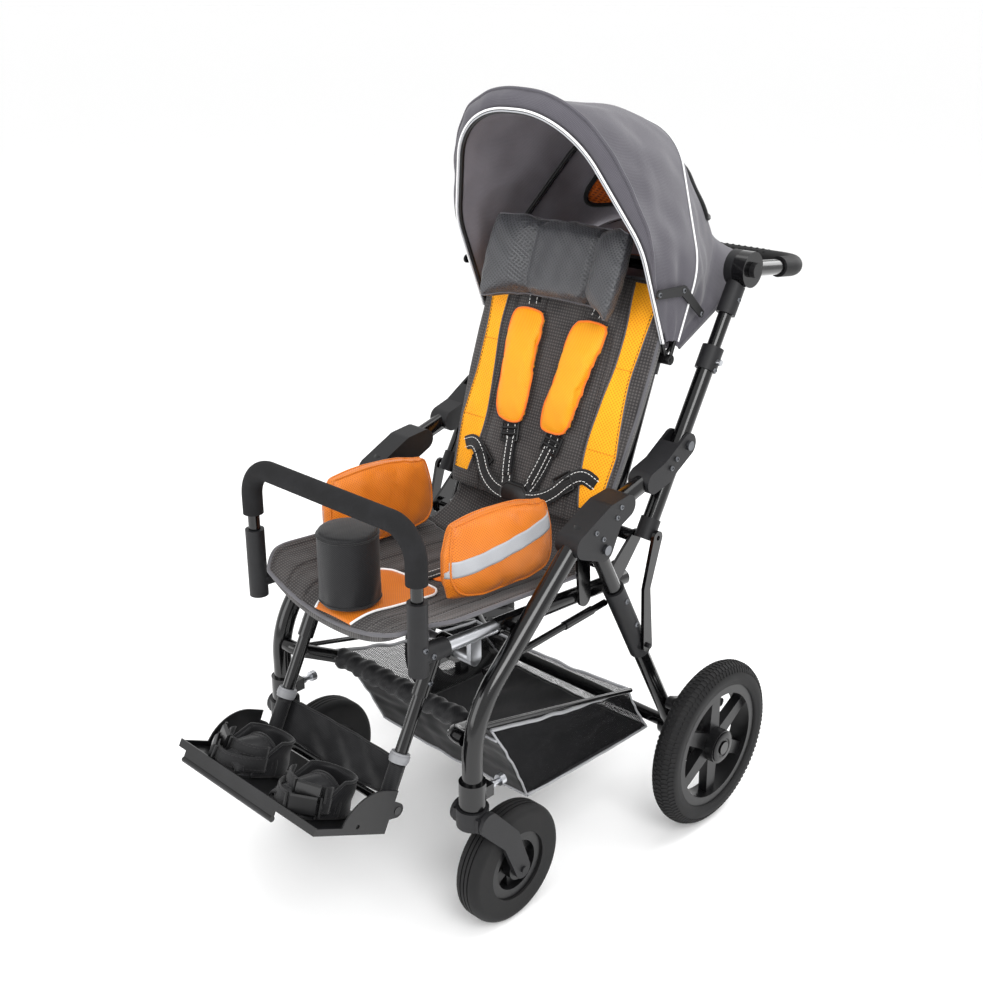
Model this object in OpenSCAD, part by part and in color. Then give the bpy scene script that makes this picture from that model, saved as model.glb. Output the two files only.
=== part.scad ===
// Special needs buggy: folding tube frame, swivel front wheels, sling seat with reclining back,
// headrest, folding hood, grab bar, footrest and push handle.
// +X is the child's left, the front faces -Y, and the floor under the rear axle is the origin.

/* [Wheels] */
// Outside diameter of the rear tyres
rear_d = 290; // [270:1:300]
// Width of the rear tyres
rear_w = 46; // [40:1:50]
// Diameter of the rear rims under the tyres
rear_rim_d = 216; // [206:1:226]
// Distance of the middle of each rear wheel from the middle plane
rear_x = 294; // [290:1:300]
// Outside diameter of the front tyres
caster_d = 190; // [176:1:196]
// Width of the front tyres
caster_w = 44; // [38:1:46]
// Diameter of the front rims under the tyres
caster_rim_d = 110; // [100:1:120]
// Distance of each front axle behind its swivel stem
caster_trail = 75; // [70:1:80]
// Diameter of the rear axle ends
axle_d = 12; // [10:0.5:14]
// Number of spokes in a wheel
spokes = 6; // [5:1:8]

/* [Side frame] */
// Distance of the side frames from the middle plane
side_x = 217; // [216:1:222]
// Diameter of the front leg tubes
leg_d = 30; // [28:0.5:31]
// Diameter of the arm tubes
arm_d = 28; // [26:0.5:30]
// Diameter of the rear leg tubes
rear_leg_d = 26; // [24:0.5:26]
// Distance of the front legs ahead of the rear axle
front_y = 490; // [484:1:496]
// Height of the bottom of the front leg collars
leg_bottom_z = 231; // [228:1:236]
// Height of the corner where the front leg bends back
knee_z = 375; // [368:1:382]
// Radius of the bend in the front leg
knee_r = 150; // [120:1:170]
// Slope of the upper front leg
leg_slope = 43; // [42:0.5:44]
// Length of the upper front leg from the corner
leg_len = 313; // [308:1:318]
// Distance of the rear leg pivot ahead of the rear axle
hub_y = 230; // [226:1:234]
// Height of the rear leg pivot
hub_z = 555; // [551:1:559]
// Width of the hub brackets
hub_w = 42; // [40:1:42]
// Slope of the arm tubes
arm_slope = 15; // [13:0.5:17]
// Length of the arm tubes
arm_len = 134; // [130:1:138]
// Diameter of the pivot bolts
bolt_d = 8; // [6:0.5:9]
// Diameter of the caster stems
stem_d = 16; // [14:0.5:18]

/* [Push handle] */
// Diameter of the lower handle tubes
upright_d = 27; // [26:0.5:28]
// Diameter of the sliding handle tubes
riser_d = 22; // [20:0.5:22.5]
// Recline of the handle tubes from upright
upright_angle = 29.7; // [28:0.1:31]
// Distance of the handle pivot ahead of the rear axle
pivot_y = 30; // [28:1:34]
// Height of the handle pivot
pivot_z = 666; // [662:1:670]
// Length of the handle tube below its pivot
upright_low = 151; // [140:1:156]
// Length of the handle tube above its pivot
upright_high = 140; // [132:1:150]
// Distance of the handle joint above the handle pivot
joint_u = 289; // [280:1:300]
// Diameter of the handle joints
joint_d = 56; // [50:1:60]
// Diameter of the push bar
bar_d = 25; // [22:0.5:26]
// Diameter of the push bar grip
grip_d = 33; // [30:0.5:36]
// Reach of the push bar behind its joints
bar_reach = 168; // [150:1:180]
// Drop of the push bar below its joints
bar_drop = 18; // [5:1:30]
// Radius of the bends in the push bar
bar_bend_r = 45; // [40:1:60]

/* [Seat] */
// Distance of the seat rails from the middle plane
rail_x = 178; // [176:1:179]
// Diameter of the seat rails
rail_d = 25; // [24:0.5:26]
// Diameter of the telescoping seat tubes
extender_d = 20; // [18:0.5:21]
// Tilt of the seat rails
rail_angle = 4.4; // [3:0.1:6]
// Length of the seat rails
rail_len = 300; // [292:1:304]
// Half width of the seat sling
seat_half = 188; // [180:1:189]
// Thickness of the seat sling
seat_t = 15; // [12:1:18]
// Dip of the sling in the middle
seat_dip = 32; // [24:1:38]
// Length of the seat sling
seat_len = 338; // [325:1:342]
// Diameter of the pommel
pommel_d = 96; // [84:1:104]
// Height of the pommel
pommel_h = 126; // [110:1:136]
// Length of the thigh pads
thigh_len = 232; // [200:1:236]
// Height of the thigh pads
thigh_h = 141; // [120:1:146]
// Thickness of the thigh pads
thigh_t = 60; // [48:1:66]

/* [Back] */
// Distance of the back tubes from the middle plane
back_x = 160; // [156:0.5:160]
// Diameter of the back tubes
back_d = 22; // [20:0.5:22]
// Recline of the back from upright
back_angle = 20.5; // [18:0.5:23]
// Length of the back frame
back_len = 470; // [455:1:485]
// Half width of the back pad
back_half = 180; // [172:1:180]
// Thickness of the back pad
back_t = 26; // [20:1:28]
// Height of the headrest
head_h = 132; // [120:1:140]
// Half width of the headrest
head_half = 128; // [110:1:138]
// Thickness of the headrest
head_t = 40; // [30:1:44]
// Reach of the headrest wings
head_wing = 46; // [30:1:50]

/* [Hood] */
// Half width of the middle hood hoop
hoop_half = 190.6; // [189:0.1:191]
// Diameter of the hood hoops
hoop_d = 6; // [5:0.5:6]
// Length of the front hood hoop
hoop_front_len = 392; // [380:1:400]
// Length of the middle hood hoop
hoop_mid_len = 357; // [345:1:365]
// Length of the rear hood hoop
hoop_rear_len = 284; // [275:1:295]
// Forward lean of the front hood hoop
hoop_front_a = 22.5; // [20:0.5:26]
// Forward lean of the middle hood hoop
hoop_mid_a = -22; // [-25:0.5:-18]
// Forward lean of the rear hood hoop
hoop_rear_a = -54; // [-58:0.5:-50]
// Thickness of the hood fabric
hood_t = 2.5; // [2:0.1:3]

/* [Grab bar] */
// Diameter of the grab bar tube
grab_d = 18; // [16:0.5:19]
// Diameter of the grab bar foam
foam_d = 31; // [28:0.5:34]
// Height of the grab bar
grab_z = 668; // [655:1:680]
// Distance of the grab bar ahead of the rear axle
grab_y = 553; // [551:1:556]
// Radius of the bends in the grab bar
grab_bend_r = 48; // [40:1:60]

/* [Footrest] */
// Distance of the foot tubes from the middle plane
foot_x = 129.5; // [124:0.5:134]
// Diameter of the foot tubes
foot_d = 19; // [17:0.5:20]
// Lean of the foot tubes from upright
foot_angle = 26.9; // [25:0.1:29]
// Length from the hanger to the footplate pivot
foot_len = 238; // [230:1:246]
// Half width of the footplate
plate_half = 157; // [152:1:164]
// Length of the footplate
plate_len = 150; // [140:1:160]
// Height of the footplate side guards
guard_h = 64; // [50:1:70]
// Thickness of the footplate sheet
sheet_t = 2.5; // [2:0.1:3]
// Diameter of the accessory holes in the side guards
guard_hole_d = 6.5; // [5:0.1:8]

/* [Basket] */
// Half width of the basket
basket_half = 179; // [170:1:179.5]
// Thickness of the basket cloth
basket_t = 3; // [2:0.5:4]

/* [Fits] */
// Radial clearance of bolts, pins and sliding tubes
run_gap = 0.05; // [0.02:0.01:0.09]
// Gap between pieces that lie against each other
seat_gap = 0.3; // [0.2:0.05:0.4]

/* [Hidden] */
$fn = 48;

// Side-view points are [y, z]; at() lifts one to a side
function at(x, p) = [x, p[0], p[1]];
function unit(v) = v / norm(v);
function along(p, q, t) = p + unit(q - p) * t;
// Direction that leans forward from upright by an angle
function lean(a) = [-sin(a), cos(a)];
function mix(a, b, t) = a + (b - a) * t;

rear_axle = [0, rear_d / 2];
hub = [-hub_y, hub_z];
knee = [-front_y, knee_z];
leg_top = knee + leg_len * [cos(leg_slope), sin(leg_slope)];
arm_dir = [cos(arm_slope), sin(arm_slope)];
arm_start = hub + [17, 44.6];
arm_end = arm_start + arm_len * arm_dir;
pivot = [-pivot_y, pivot_z];
up_dir = lean(-upright_angle);
low_end = pivot - upright_low * up_dir;
handle_joint = pivot + joint_u * up_dir;
// Places along the rear leg, from its pivot
sleeve_from = 100;
sleeve_to = 255;
link_at = 231;
link_pin = along(hub, rear_axle, link_at);
sleeve_d = rear_leg_d + 8;
sleeve_bore = rear_leg_d + 2 * run_gap;
// Seat rail line, rising towards the front
rail_rear = [-105, 449];
rail_dir = [-cos(rail_angle), sin(rail_angle)];
function rail_at(y) = rail_rear + rail_dir * ((rail_rear[0] - y) / cos(rail_angle));
back_hinge = [-146, rail_at(-146)[1] + 30];
back_dir = lean(-back_angle);
back_front = [-cos(back_angle), sin(back_angle)];
function on_back(u, n) = back_hinge + u * back_dir + n * back_front;
hood_pin = on_back(332, 0);
hanger_axis = [-446, 438];
foot_dir = [-sin(foot_angle), -cos(foot_angle)];
foot_side = [-cos(foot_angle), sin(foot_angle)];
hanger_offset = 30;
function on_foot(t, n) = hanger_axis + foot_dir * t + foot_side * (hanger_offset + n);
foot_pivot = on_foot(foot_len, 0);
stem_y = -front_y;
caster_axle = [stem_y + caster_trail, caster_d / 2];
crown_top = leg_bottom_z - 0.5;
black = [0.06, 0.06, 0.065];
grey = [0.17, 0.17, 0.18];
cloth = [0.3, 0.3, 0.31];
orange = [0.95, 0.55, 0.05];
steel = [0.7, 0.7, 0.72];

// A round bar between two points
module rod(a, b, d) {
    v = b - a;
    translate(a) rotate([0, acos(v[2] / norm(v)), atan2(v[1], v[0])]) cylinder(d = d, h = norm(v));
}

// A round bar along X at a side-view point
module pin(p, x0, x1, d) {
    translate([x0, p[0], p[1]]) rotate([0, 90, 0]) cylinder(d = d, h = x1 - x0);
}

// The bend of a tube at a corner between two unit directions
module elbow(corner, a, b, r, d) {
    turn = acos(a * b);
    n = unit(b - (a * b) * a);
    c = corner - a * r * tan(turn / 2) + n * r;
    z = cross(a, n);
    multmatrix([[-n[0], a[0], z[0], c[0]], [-n[1], a[1], z[1], c[1]],
        [-n[2], a[2], z[2], c[2]], [0, 0, 0, 1]])
        rotate_extrude(angle = turn) translate([r, 0]) circle(d = d + bend_swell);
}

// A tube along corners that are rounded to one bend radius; the straights run a little into the bends
bend_swell = 0.1;
bend_lap = 0.5;
module bent_tube(pts, r, d) {
    last = len(pts) - 1;
    dirs = [for (i = [0 : last - 1]) unit(pts[i + 1] - pts[i])];
    cut = [for (i = [0 : last]) i == 0 || i == last ? 0
        : r * tan(acos(dirs[i - 1] * dirs[i]) / 2) - bend_lap];
    for (i = [0 : last - 1]) {
        rod(pts[i] + dirs[i] * cut[i], pts[i + 1] - dirs[i] * cut[i + 1], d);
    }
    for (i = [1 : 1 : last - 1]) {
        elbow(pts[i], dirs[i - 1], dirs[i], r, d);
    }
}

// Flat outline of a bar with round ends of two radii; its straight sides cut a little into the ends
side_cut = 0.06;
module tapered_bar(a, b, ra, rb) {
    d = norm(b - a);
    along_a = atan2((b - a)[1], (b - a)[0]);
    open_a = acos((ra - rb) / d);
    p = [cos(along_a + open_a), sin(along_a + open_a)];
    q = [cos(along_a - open_a), sin(along_a - open_a)];
    polygon([a + (ra - side_cut) * p, b + (rb - side_cut) * p, b + (rb - side_cut) * q, a + (ra - side_cut) * q]);
    translate(a) circle(ra);
    translate(b) circle(rb);
}

// A plate between two X positions whose outline is a chain of [point, radius]
module plate(chain, x0, x1) {
    translate([x0, 0, 0]) rotate([90, 0, 90]) linear_extrude(x1 - x0)
        for (i = [0 : len(chain) - 2]) {
            tapered_bar(chain[i][0], chain[i + 1][0], chain[i][1], chain[i + 1][1]);
        }
}

// Both sides of the buggy
module pair() {
    children();
    mirror([1, 0, 0]) children();
}

// A closed soft sheet between two grids of points with the same rows and columns
module slab(top, bottom) {
    rows = len(top);
    cols = len(top[0]);
    under = rows * cols;
    function id(r, c) = r * cols + c;
    points = [for (g = [top, bottom]) for (r = [0 : rows - 1]) for (c = [0 : cols - 1]) g[r][c]];
    faces = [
        for (r = [0 : rows - 2]) for (c = [0 : cols - 2]) for (f = [
            [id(r, c), id(r + 1, c + 1), id(r, c + 1)],
            [id(r, c), id(r + 1, c), id(r + 1, c + 1)],
            [under + id(r, c), under + id(r, c + 1), under + id(r + 1, c + 1)],
            [under + id(r, c), under + id(r + 1, c + 1), under + id(r + 1, c)]]) f,
        for (c = [0 : cols - 2]) for (f = [
            [id(0, c), id(0, c + 1), under + id(0, c + 1)],
            [id(0, c), under + id(0, c + 1), under + id(0, c)],
            [id(rows - 1, c), under + id(rows - 1, c + 1), id(rows - 1, c + 1)],
            [id(rows - 1, c), under + id(rows - 1, c), under + id(rows - 1, c + 1)]]) f,
        for (r = [0 : rows - 2]) for (f = [
            [id(r, 0), under + id(r + 1, 0), id(r + 1, 0)],
            [id(r, 0), under + id(r, 0), under + id(r + 1, 0)],
            [id(r, cols - 1), id(r + 1, cols - 1), under + id(r + 1, cols - 1)],
            [id(r, cols - 1), under + id(r + 1, cols - 1), under + id(r, cols - 1)]]) f];
    polyhedron(points, faces);
}

// Fullness of a pillow from its middle (1) to its rim (0)
function swell(u, v) = sqrt(max(0, (1 - pow(abs(u), 3)) * (1 - pow(abs(v), 3))));

// Front legs with the collars that hold the caster stems and the swivel locks
collar_d = leg_d + 10;
collar_h = 42;
lock_z = leg_bottom_z + 16;
lock_d = 8;
module front_legs() {
    color(black) pair() difference() {
        union() {
            bent_tube([at(side_x, [stem_y, leg_bottom_z + 8]), at(side_x, knee), at(side_x, leg_top)],
                knee_r, leg_d);
            translate([side_x, stem_y, leg_bottom_z]) cylinder(d = collar_d, h = collar_h);
            translate([side_x - 10, stem_y, lock_z - 10]) cube([20, collar_d / 2 + 14, 20]);
        }
        translate([side_x, stem_y, leg_bottom_z - 1]) cylinder(d = stem_d + 2 * run_gap, h = 61);
        translate([side_x, stem_y + stem_d / 2 + 6, lock_z]) rotate([-90, 0, 0])
            cylinder(d = lock_d + 2 * run_gap, h = 40);
    }
}

module arm_tubes() {
    color(black) pair() rod(at(side_x, arm_start), at(side_x, arm_end), arm_d);
}

// Bracket that joins front leg, arm tube and rear leg
leg_slot = rear_leg_d + 1;
module hub_brackets() {
    leg_in = along(leg_top, knee, 22);
    arm_in = arm_start + 34 * arm_dir;
    color(grey) pair() difference() {
        union() {
            plate([[leg_in, leg_d / 2 + 4], [arm_start, arm_d / 2 + 9], [arm_in, arm_d / 2 + 4]],
                side_x - hub_w / 2, side_x + hub_w / 2);
            plate([[arm_start, arm_d / 2 + 9], [hub, 19]], side_x - hub_w / 2, side_x + hub_w / 2);
            plate([[leg_in, leg_d / 2 + 4], [hub, 19]], side_x - hub_w / 2, side_x + hub_w / 2);
        }
        rod(at(side_x, along(leg_top, knee, 90)), at(side_x, leg_top), leg_d + 2 * run_gap);
        rod(at(side_x, arm_start), at(side_x, arm_start + 90 * arm_dir), arm_d + 2 * run_gap);
        plate([[hub, rear_leg_d / 2 + 3], [along(hub, rear_axle, 60), rear_leg_d / 2 + 3]],
            side_x - leg_slot / 2, side_x + leg_slot / 2);
        plate([[hub, rear_leg_d / 2 + 3], [hub + [50, -32], rear_leg_d / 2 + 3]],
            side_x - leg_slot / 2, side_x + leg_slot / 2);
        pin(hub, side_x - hub_w, side_x + hub_w, bolt_d + 2 * run_gap);
    }
}

// Bracket that joins the arm tube to the folding handle
cheek_t = 5;
joint_slot = upright_d + 1.2;
module arm_joints() {
    arm_in = arm_end - 30 * arm_dir;
    half = joint_slot / 2 + cheek_t;
    color(grey) pair() difference() {
        union() {
            plate([[arm_in, arm_d / 2 + 4], [arm_end + 6 * arm_dir, arm_d / 2 + 5]],
                side_x - half, side_x + half);
            plate([[arm_end, arm_d / 2 + 4], [pivot, 19]], side_x - half, side_x + half);
        }
        rod(at(side_x, arm_end - 60 * arm_dir), at(side_x, arm_end), arm_d + 2 * run_gap);
        for (a = [0 : 12 : 60]) {
            plate([[pivot + 60 * lean(a - upright_angle), upright_d / 2 + 3],
                [pivot - 60 * lean(a - upright_angle), upright_d / 2 + 3]],
                side_x - joint_slot / 2, side_x + joint_slot / 2);
        }
        pin(pivot, side_x - hub_w, side_x + hub_w, bolt_d + 2 * run_gap);
    }
}

// Lower cross tube, bent back between the legs, with the basket rods and the mounts that carry the seat rails
cross_z = 335;
cross_d = 22;
cross_bend = 24;
cross_stub = 26;
cross_mid_half = 150;
cross_mid = [stem_y + 68, cross_z - 30];
basket_rod_d = 8;
basket_rod_x = basket_half + seat_gap + basket_rod_d / 2;
basket_rear_top = [-78, 232];
module cross_members() {
    stub = rail_at(-388);
    mount_foot = rail_at(-222);
    cross_end = side_x - leg_d / 2 - seat_gap;
    color(black) {
        bent_tube([at(-cross_end, [stem_y, cross_z]), at(cross_stub - cross_end, [stem_y, cross_z]),
            at(-cross_mid_half, cross_mid), at(cross_mid_half, cross_mid),
            at(cross_end - cross_stub, [stem_y, cross_z]), at(cross_end, [stem_y, cross_z])], cross_bend, cross_d);
        pair() {
            rod(at(basket_rod_x, [stem_y + cross_d / 2 - 2, cross_z]), at(basket_rod_x, basket_rear_top),
                basket_rod_d);
            pin(stub, rail_x + rail_d / 2 + seat_gap, side_x - leg_d / 2 - seat_gap, 18);
            plate([[hub, 15], [mount_foot, 13]], rail_x + rail_d / 2 + seat_gap,
                side_x - hub_w / 2 - seat_gap);
        }
    }
}

// Outer seat rails with the ears that carry the back hinge
ear_x = rail_x + rail_d / 2 - 3;
ear_t = 6.5;
module seat_rails() {
    color(black) pair() difference() {
        union() {
            rod(at(rail_x, rail_rear), at(rail_x, rail_rear + rail_len * rail_dir), rail_d);
            plate([[rail_at(back_hinge[0]) + [0, 6], 11], [back_hinge, 12]], ear_x, ear_x + ear_t);
        }
        rod(at(rail_x, rail_rear + 60 * rail_dir), at(rail_x, rail_rear + (rail_len + 1) * rail_dir),
            extender_d + 2 * run_gap);
        pin(back_hinge, ear_x - 1, ear_x + ear_t + 1, bolt_d + 2 * run_gap);
    }
}

// Brace bars from the front legs back to the rear leg sleeves
stay_d = 14;
module seat_stays() {
    front = along(knee, leg_top, 66);
    rear = [-172, 433];
    grip_from = mix(rear, front, 0.12);
    grip_to = mix(rear, front, 0.36);
    x = side_x - leg_d / 2 - seat_gap - stay_d / 2;
    color(black) pair() {
        rod(at(x, front), at(x, rear), stay_d - 3);
        rod(at(x, grip_from), at(x, grip_to), stay_d);
    }
}

// Sling seat with a dipped middle, raised sides and a front edge that falls away
seat_rear_y = -218;
seat_lift = 9;
seat_rib = 1.2;
function seat_w(t) = seat_half - 42 * pow(max(0, (t - 0.78) / 0.22), 2);
function seat_fall(t) = 16 * pow(max(0, (t - 0.86) / 0.14), 2);
function seat_top(u, t) = [u * seat_w(t), seat_rear_y - seat_len * t,
    rail_at(seat_rear_y - seat_len * t)[1] + seat_lift + seat_dip * pow(abs(u), 2.2) - seat_fall(t)];
module seat_pad() {
    rows = [for (j = [0 : 11]) j / 11];
    cols = [for (i = [-8 : 8]) i / 8];
    top = [for (t = rows) [for (u = cols) seat_top(u, t) + [0, 0, seat_rib * cos(u * 8 * 180)]]];
    bottom = [for (t = rows) [for (u = cols)
        seat_top(u, t) - [0, 0, seat_t * (0.45 + 0.55 * (1 - pow(abs(u), 4)))]]];
    color(cloth) slab(bottom, top);
}

// Crowned thigh pads that stand on the sling beside the legs
thigh_x = 100;
thigh_y = -346;
module thigh_pads() {
    rows = [for (j = [-6 : 6]) j / 6];
    cols = [for (i = [-7 : 7]) i / 7];
    mid_x = thigh_x + thigh_t / 2;
    base = rail_at(thigh_y)[1] + seat_lift + seat_dip * pow(mid_x / seat_half, 2.2) + seat_rib + 2 * seat_gap;
    function rim(u, v) = [mid_x, thigh_y - u * thigh_len / 2 * (1 - 0.1 * v * v - 0.04 * v),
        base + thigh_h / 2 + v * thigh_h / 2 * (1 - 0.16 * u * u) + 8 * u];
    function face(u, v, s) = rim(u, v) + [s * (5 + (thigh_t / 2 - 5) * swell(u, v)), 0, 0];
    color(orange) pair()
        slab([for (v = rows) [for (u = cols) face(u, v, -1)]], [for (v = rows) [for (u = cols) face(u, v, 1)]]);
}

// Pommel at the front edge, a soft upright roll
pommel_y = -520;
module pommel() {
    base = rail_at(pommel_y)[1] + seat_lift + seat_rib + 1.2;
    r = pommel_d / 2;
    color(black) translate([0, pommel_y, base]) rotate_extrude() difference() {
        union() {
            square([r - 3, pommel_h - 6]);
            translate([0, 8]) square([r, pommel_h - 24]);
            translate([r - 10, pommel_h - 16]) circle(10);
            translate([r - 8, 8]) circle(8);
        }
        translate([-2 * r, -1]) square([2 * r, 2 * pommel_h]);
    }
}

// Open shopping basket of mesh cloth, hung from its rods
module basket() {
    front_top = along([stem_y + cross_d / 2, cross_z], basket_rear_top, 78);
    front_low = [-325, 152];
    rear_low = [-34, 137];
    low_half = basket_half - 9;
    function ring(inset) = [
        [for (s = [-1, 1]) at(s * (basket_half - inset), front_top + [inset, 0])],
        [for (s = [-1, 1]) at(s * (low_half - inset), front_low + [inset, inset])],
        [for (s = [-1, 1]) at(s * (low_half - inset), rear_low + [-inset, inset])],
        [for (s = [-1, 1]) at(s * (basket_half - inset), basket_rear_top + [-inset, 0])]];
    function box(g) = [g[0][0], g[0][1], g[1][1], g[1][0], g[3][0], g[3][1], g[2][1], g[2][0]];
    outer = box(ring(0));
    inner = box(ring(basket_t));
    walls = [[0, 3, 2, 1], [0, 4, 7, 3], [1, 2, 6, 5], [4, 5, 6, 7], [3, 7, 6, 2]];
    rim = [[0, 1], [1, 5], [5, 4], [4, 0]];
    color(black) polyhedron(concat(outer, inner), concat(
        [for (w = walls) for (f = [[w[0], w[2], w[1]], [w[0], w[3], w[2]]]) f],
        [for (w = walls) for (f = [[w[0], w[1], w[2]], [w[0], w[2], w[3]]]) [for (i = f) i + 8]],
        [for (e = rim) for (f = [[e[1], e[0], e[0] + 8], [e[1], e[0] + 8, e[1] + 8]]) f]));
}

// Bolts of the two frame pivots on each side, with round heads outside
module pivot_bolts() {
    half = joint_slot / 2 + cheek_t;
    color(steel) pair() {
        pin(hub, side_x - hub_w / 2, side_x + hub_w / 2 + 4, bolt_d);
        pin(hub, side_x + hub_w / 2 + seat_gap, side_x + hub_w / 2 + 5, bolt_d * 1.9);
        pin(pivot, side_x - half, side_x + half + 4, bolt_d);
        pin(pivot, side_x + half + seat_gap, side_x + half + 5, bolt_d * 1.9);
    }
}

// Rear legs from the hub pivots down to the axle
axle_tube_d = 22;
housing_d = 40;
brake_pivot = along(hub, rear_axle, 392);
module rear_legs() {
    color(black) pair() difference() {
        union() {
            rod(at(side_x, hub), at(side_x, rear_axle), rear_leg_d);
            pin(hub, side_x - rear_leg_d / 2, side_x + rear_leg_d / 2, rear_leg_d);
            pin(rear_axle, side_x - 17, side_x + 17, housing_d);
            pin(brake_pivot, side_x, side_x + 36, bolt_d);
        }
        pin(hub, side_x - hub_w, side_x + hub_w, bolt_d + 2 * run_gap);
        pin(rear_axle, side_x - hub_w, side_x + hub_w, axle_tube_d + 2 * run_gap);
    }
}

// Plastic sleeves on the rear legs with the pin that carries the fold link
link_x = side_x + upright_d / 2 + 5;
link_t = 6;
module leg_sleeves() {
    from = along(hub, rear_axle, sleeve_from);
    to = along(hub, rear_axle, sleeve_to);
    color(grey) pair() difference() {
        union() {
            rod(at(side_x, from), at(side_x, to), sleeve_d);
            pin(link_pin, side_x, link_x - seat_gap, 24);
            pin(link_pin, side_x, link_x + link_t + 5, bolt_d);
        }
        rod(at(side_x, along(hub, rear_axle, sleeve_from - 5)), at(side_x, along(hub, rear_axle, sleeve_to + 5)),
            sleeve_bore);
    }
}

// Rear axle: cross tube, wheel stubs and end nuts
axle_shoulder = side_x + 26;
module rear_axle() {
    color(black) {
        pin(rear_axle, -axle_shoulder, axle_shoulder, axle_tube_d);
        pair() {
            pin(rear_axle, axle_shoulder, rear_x + rear_w / 2 + 7, axle_d);
            pin(rear_axle, rear_x + rear_w / 2 + 2.5, rear_x + rear_w / 2 + 7, axle_d + 10);
        }
    }
}

// Toothed brake drum on each rear wheel and the pedal whose tooth drops into it
drum_d = 90;
drum_teeth = 16;
drum_t = 10;
drum_x = rear_x - rear_w / 2 - 14;
tooth_a = 67.5;
tooth_at = rear_axle + (drum_d / 2 + 6.5) * [cos(tooth_a), sin(tooth_a)];
module brake_lever(side) {
    inner = side_x + rear_leg_d / 2 + 4;
    pedal = brake_pivot + unit(tooth_at - brake_pivot) * 128;
    color(black) mirror([side < 0 ? 1 : 0, 0, 0]) difference() {
        union() {
            plate([[brake_pivot, 11], [tooth_at, 7], [pedal, 8]], inner, inner + 12);
            translate([inner + 6, tooth_at[0], tooth_at[1]]) rotate([tooth_a - 90, 0, 0])
                translate([0, -3, -5]) cube([drum_x + drum_t - inner - 7, 6, 8]);
            pin(pedal, inner, inner + 26, 16);
        }
        pin(brake_pivot, side_x, side_x + 60, bolt_d + 2 * run_gap);
    }
}
module brake_lever_left() {
    brake_lever(1);
}
module brake_lever_right() {
    brake_lever(-1);
}

// A spoked wheel turned about X, before its bore is cut; depth is its hub length
module spoked_wheel(rim_d, rim_w, hub_d, depth, web) {
    rotate([0, 90, 0]) {
        difference() {
            cylinder(d = rim_d, h = rim_w, center = true);
            cylinder(d = rim_d - 30, h = rim_w + 2, center = true);
        }
        cylinder(d = hub_d, h = depth, center = true);
        for (i = [0 : spokes - 1]) {
            rotate(i * 360 / spokes) linear_extrude(web, center = true)
                polygon([[hub_d * 0.32, -hub_d * 0.24], [rim_d / 2 - 8, -hub_d * 0.18],
                    [rim_d / 2 - 8, hub_d * 0.18], [hub_d * 0.32, hub_d * 0.24]]);
        }
    }
}

// A tyre of round section turned about X, cut to sit on its rim
module round_tyre(d, w, rim_d) {
    rotate([0, 90, 0]) rotate_extrude($fn = 96) difference() {
        translate([d / 2 - w / 2, 0]) circle(d = w);
        translate([0, -w]) square([rim_d / 2 + run_gap, 2 * w]);
    }
}

module rear_wheel(side) {
    color(black) mirror([side < 0 ? 1 : 0, 0, 0]) difference() {
        union() {
            translate([rear_x, 0, rear_axle[1]]) spoked_wheel(rear_rim_d, rear_w - 12, 58, rear_w + 4, 16);
            pin(rear_axle, drum_x, drum_x + 14, drum_d);
        }
        pin(rear_axle, drum_x - 20, rear_x + rear_w, axle_d + 2 * run_gap);
        for (i = [0 : drum_teeth - 1]) {
            translate([drum_x - 1, 0, rear_axle[1]]) rotate([tooth_a + i * 360 / drum_teeth, 0, 0])
                translate([0, drum_d / 2 - 8, -5]) cube([drum_t + 1, 12, 10]);
        }
    }
}
module rear_wheel_left() {
    rear_wheel(1);
}
module rear_wheel_right() {
    rear_wheel(-1);
}
module rear_tyre_left() {
    color(grey) translate([rear_x, 0, rear_axle[1]]) round_tyre(rear_d, rear_w, rear_rim_d);
}
module rear_tyre_right() {
    color(grey) translate([-rear_x, 0, rear_axle[1]]) round_tyre(rear_d, rear_w, rear_rim_d);
}

// Bent link bars between the rear legs and the ends of the handle tubes
module fold_links() {
    elbow_at = mix(link_pin, low_end, 0.55) + [-16, 2];
    color(black) pair() difference() {
        plate([[link_pin, 11], [elbow_at, 8], [low_end, 11]], link_x, link_x + link_t);
        pin(link_pin, side_x, link_x + 20, bolt_d + 2 * run_gap);
        pin(low_end, side_x, link_x + 20, bolt_d);
    }
}

// Lower handle tubes, hollow above the pivot for the risers
module handle_tubes() {
    color(black) pair() difference() {
        rod(at(side_x, low_end), at(side_x, pivot + upright_high * up_dir), upright_d);
        rod(at(side_x, pivot + 30 * up_dir), at(side_x, pivot + (upright_high + 1) * up_dir),
            riser_d + 2 * run_gap);
        pin(pivot, side_x - hub_w, side_x + hub_w, bolt_d + 2 * run_gap);
    }
}

// Clamp collars at the top of the handle tubes and the end caps below
clamp_d = upright_d + 8;
button_d = 10;
clamp_at = pivot + (upright_high - 4) * up_dir;
module handle_collars() {
    color(grey) pair() {
        difference() {
            rod(at(side_x, pivot + (upright_high - 20) * up_dir), at(side_x, pivot + (upright_high + 18) * up_dir),
                clamp_d);
            rod(at(side_x, pivot + (upright_high - 21) * up_dir), at(side_x, pivot + upright_high * up_dir),
                upright_d + 2 * run_gap);
            rod(at(side_x, pivot + upright_high * up_dir), at(side_x, pivot + (upright_high + 19) * up_dir),
                riser_d + 2 * run_gap);
            pin(clamp_at, side_x + upright_d / 2, side_x + clamp_d, button_d + 2 * run_gap);
        }
        difference() {
            rod(at(side_x, low_end - 8 * up_dir), at(side_x, low_end + 26 * up_dir), upright_d + 5);
            rod(at(side_x, low_end), at(side_x, low_end + 27 * up_dir), upright_d + 2 * run_gap);
        }
    }
}

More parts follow.
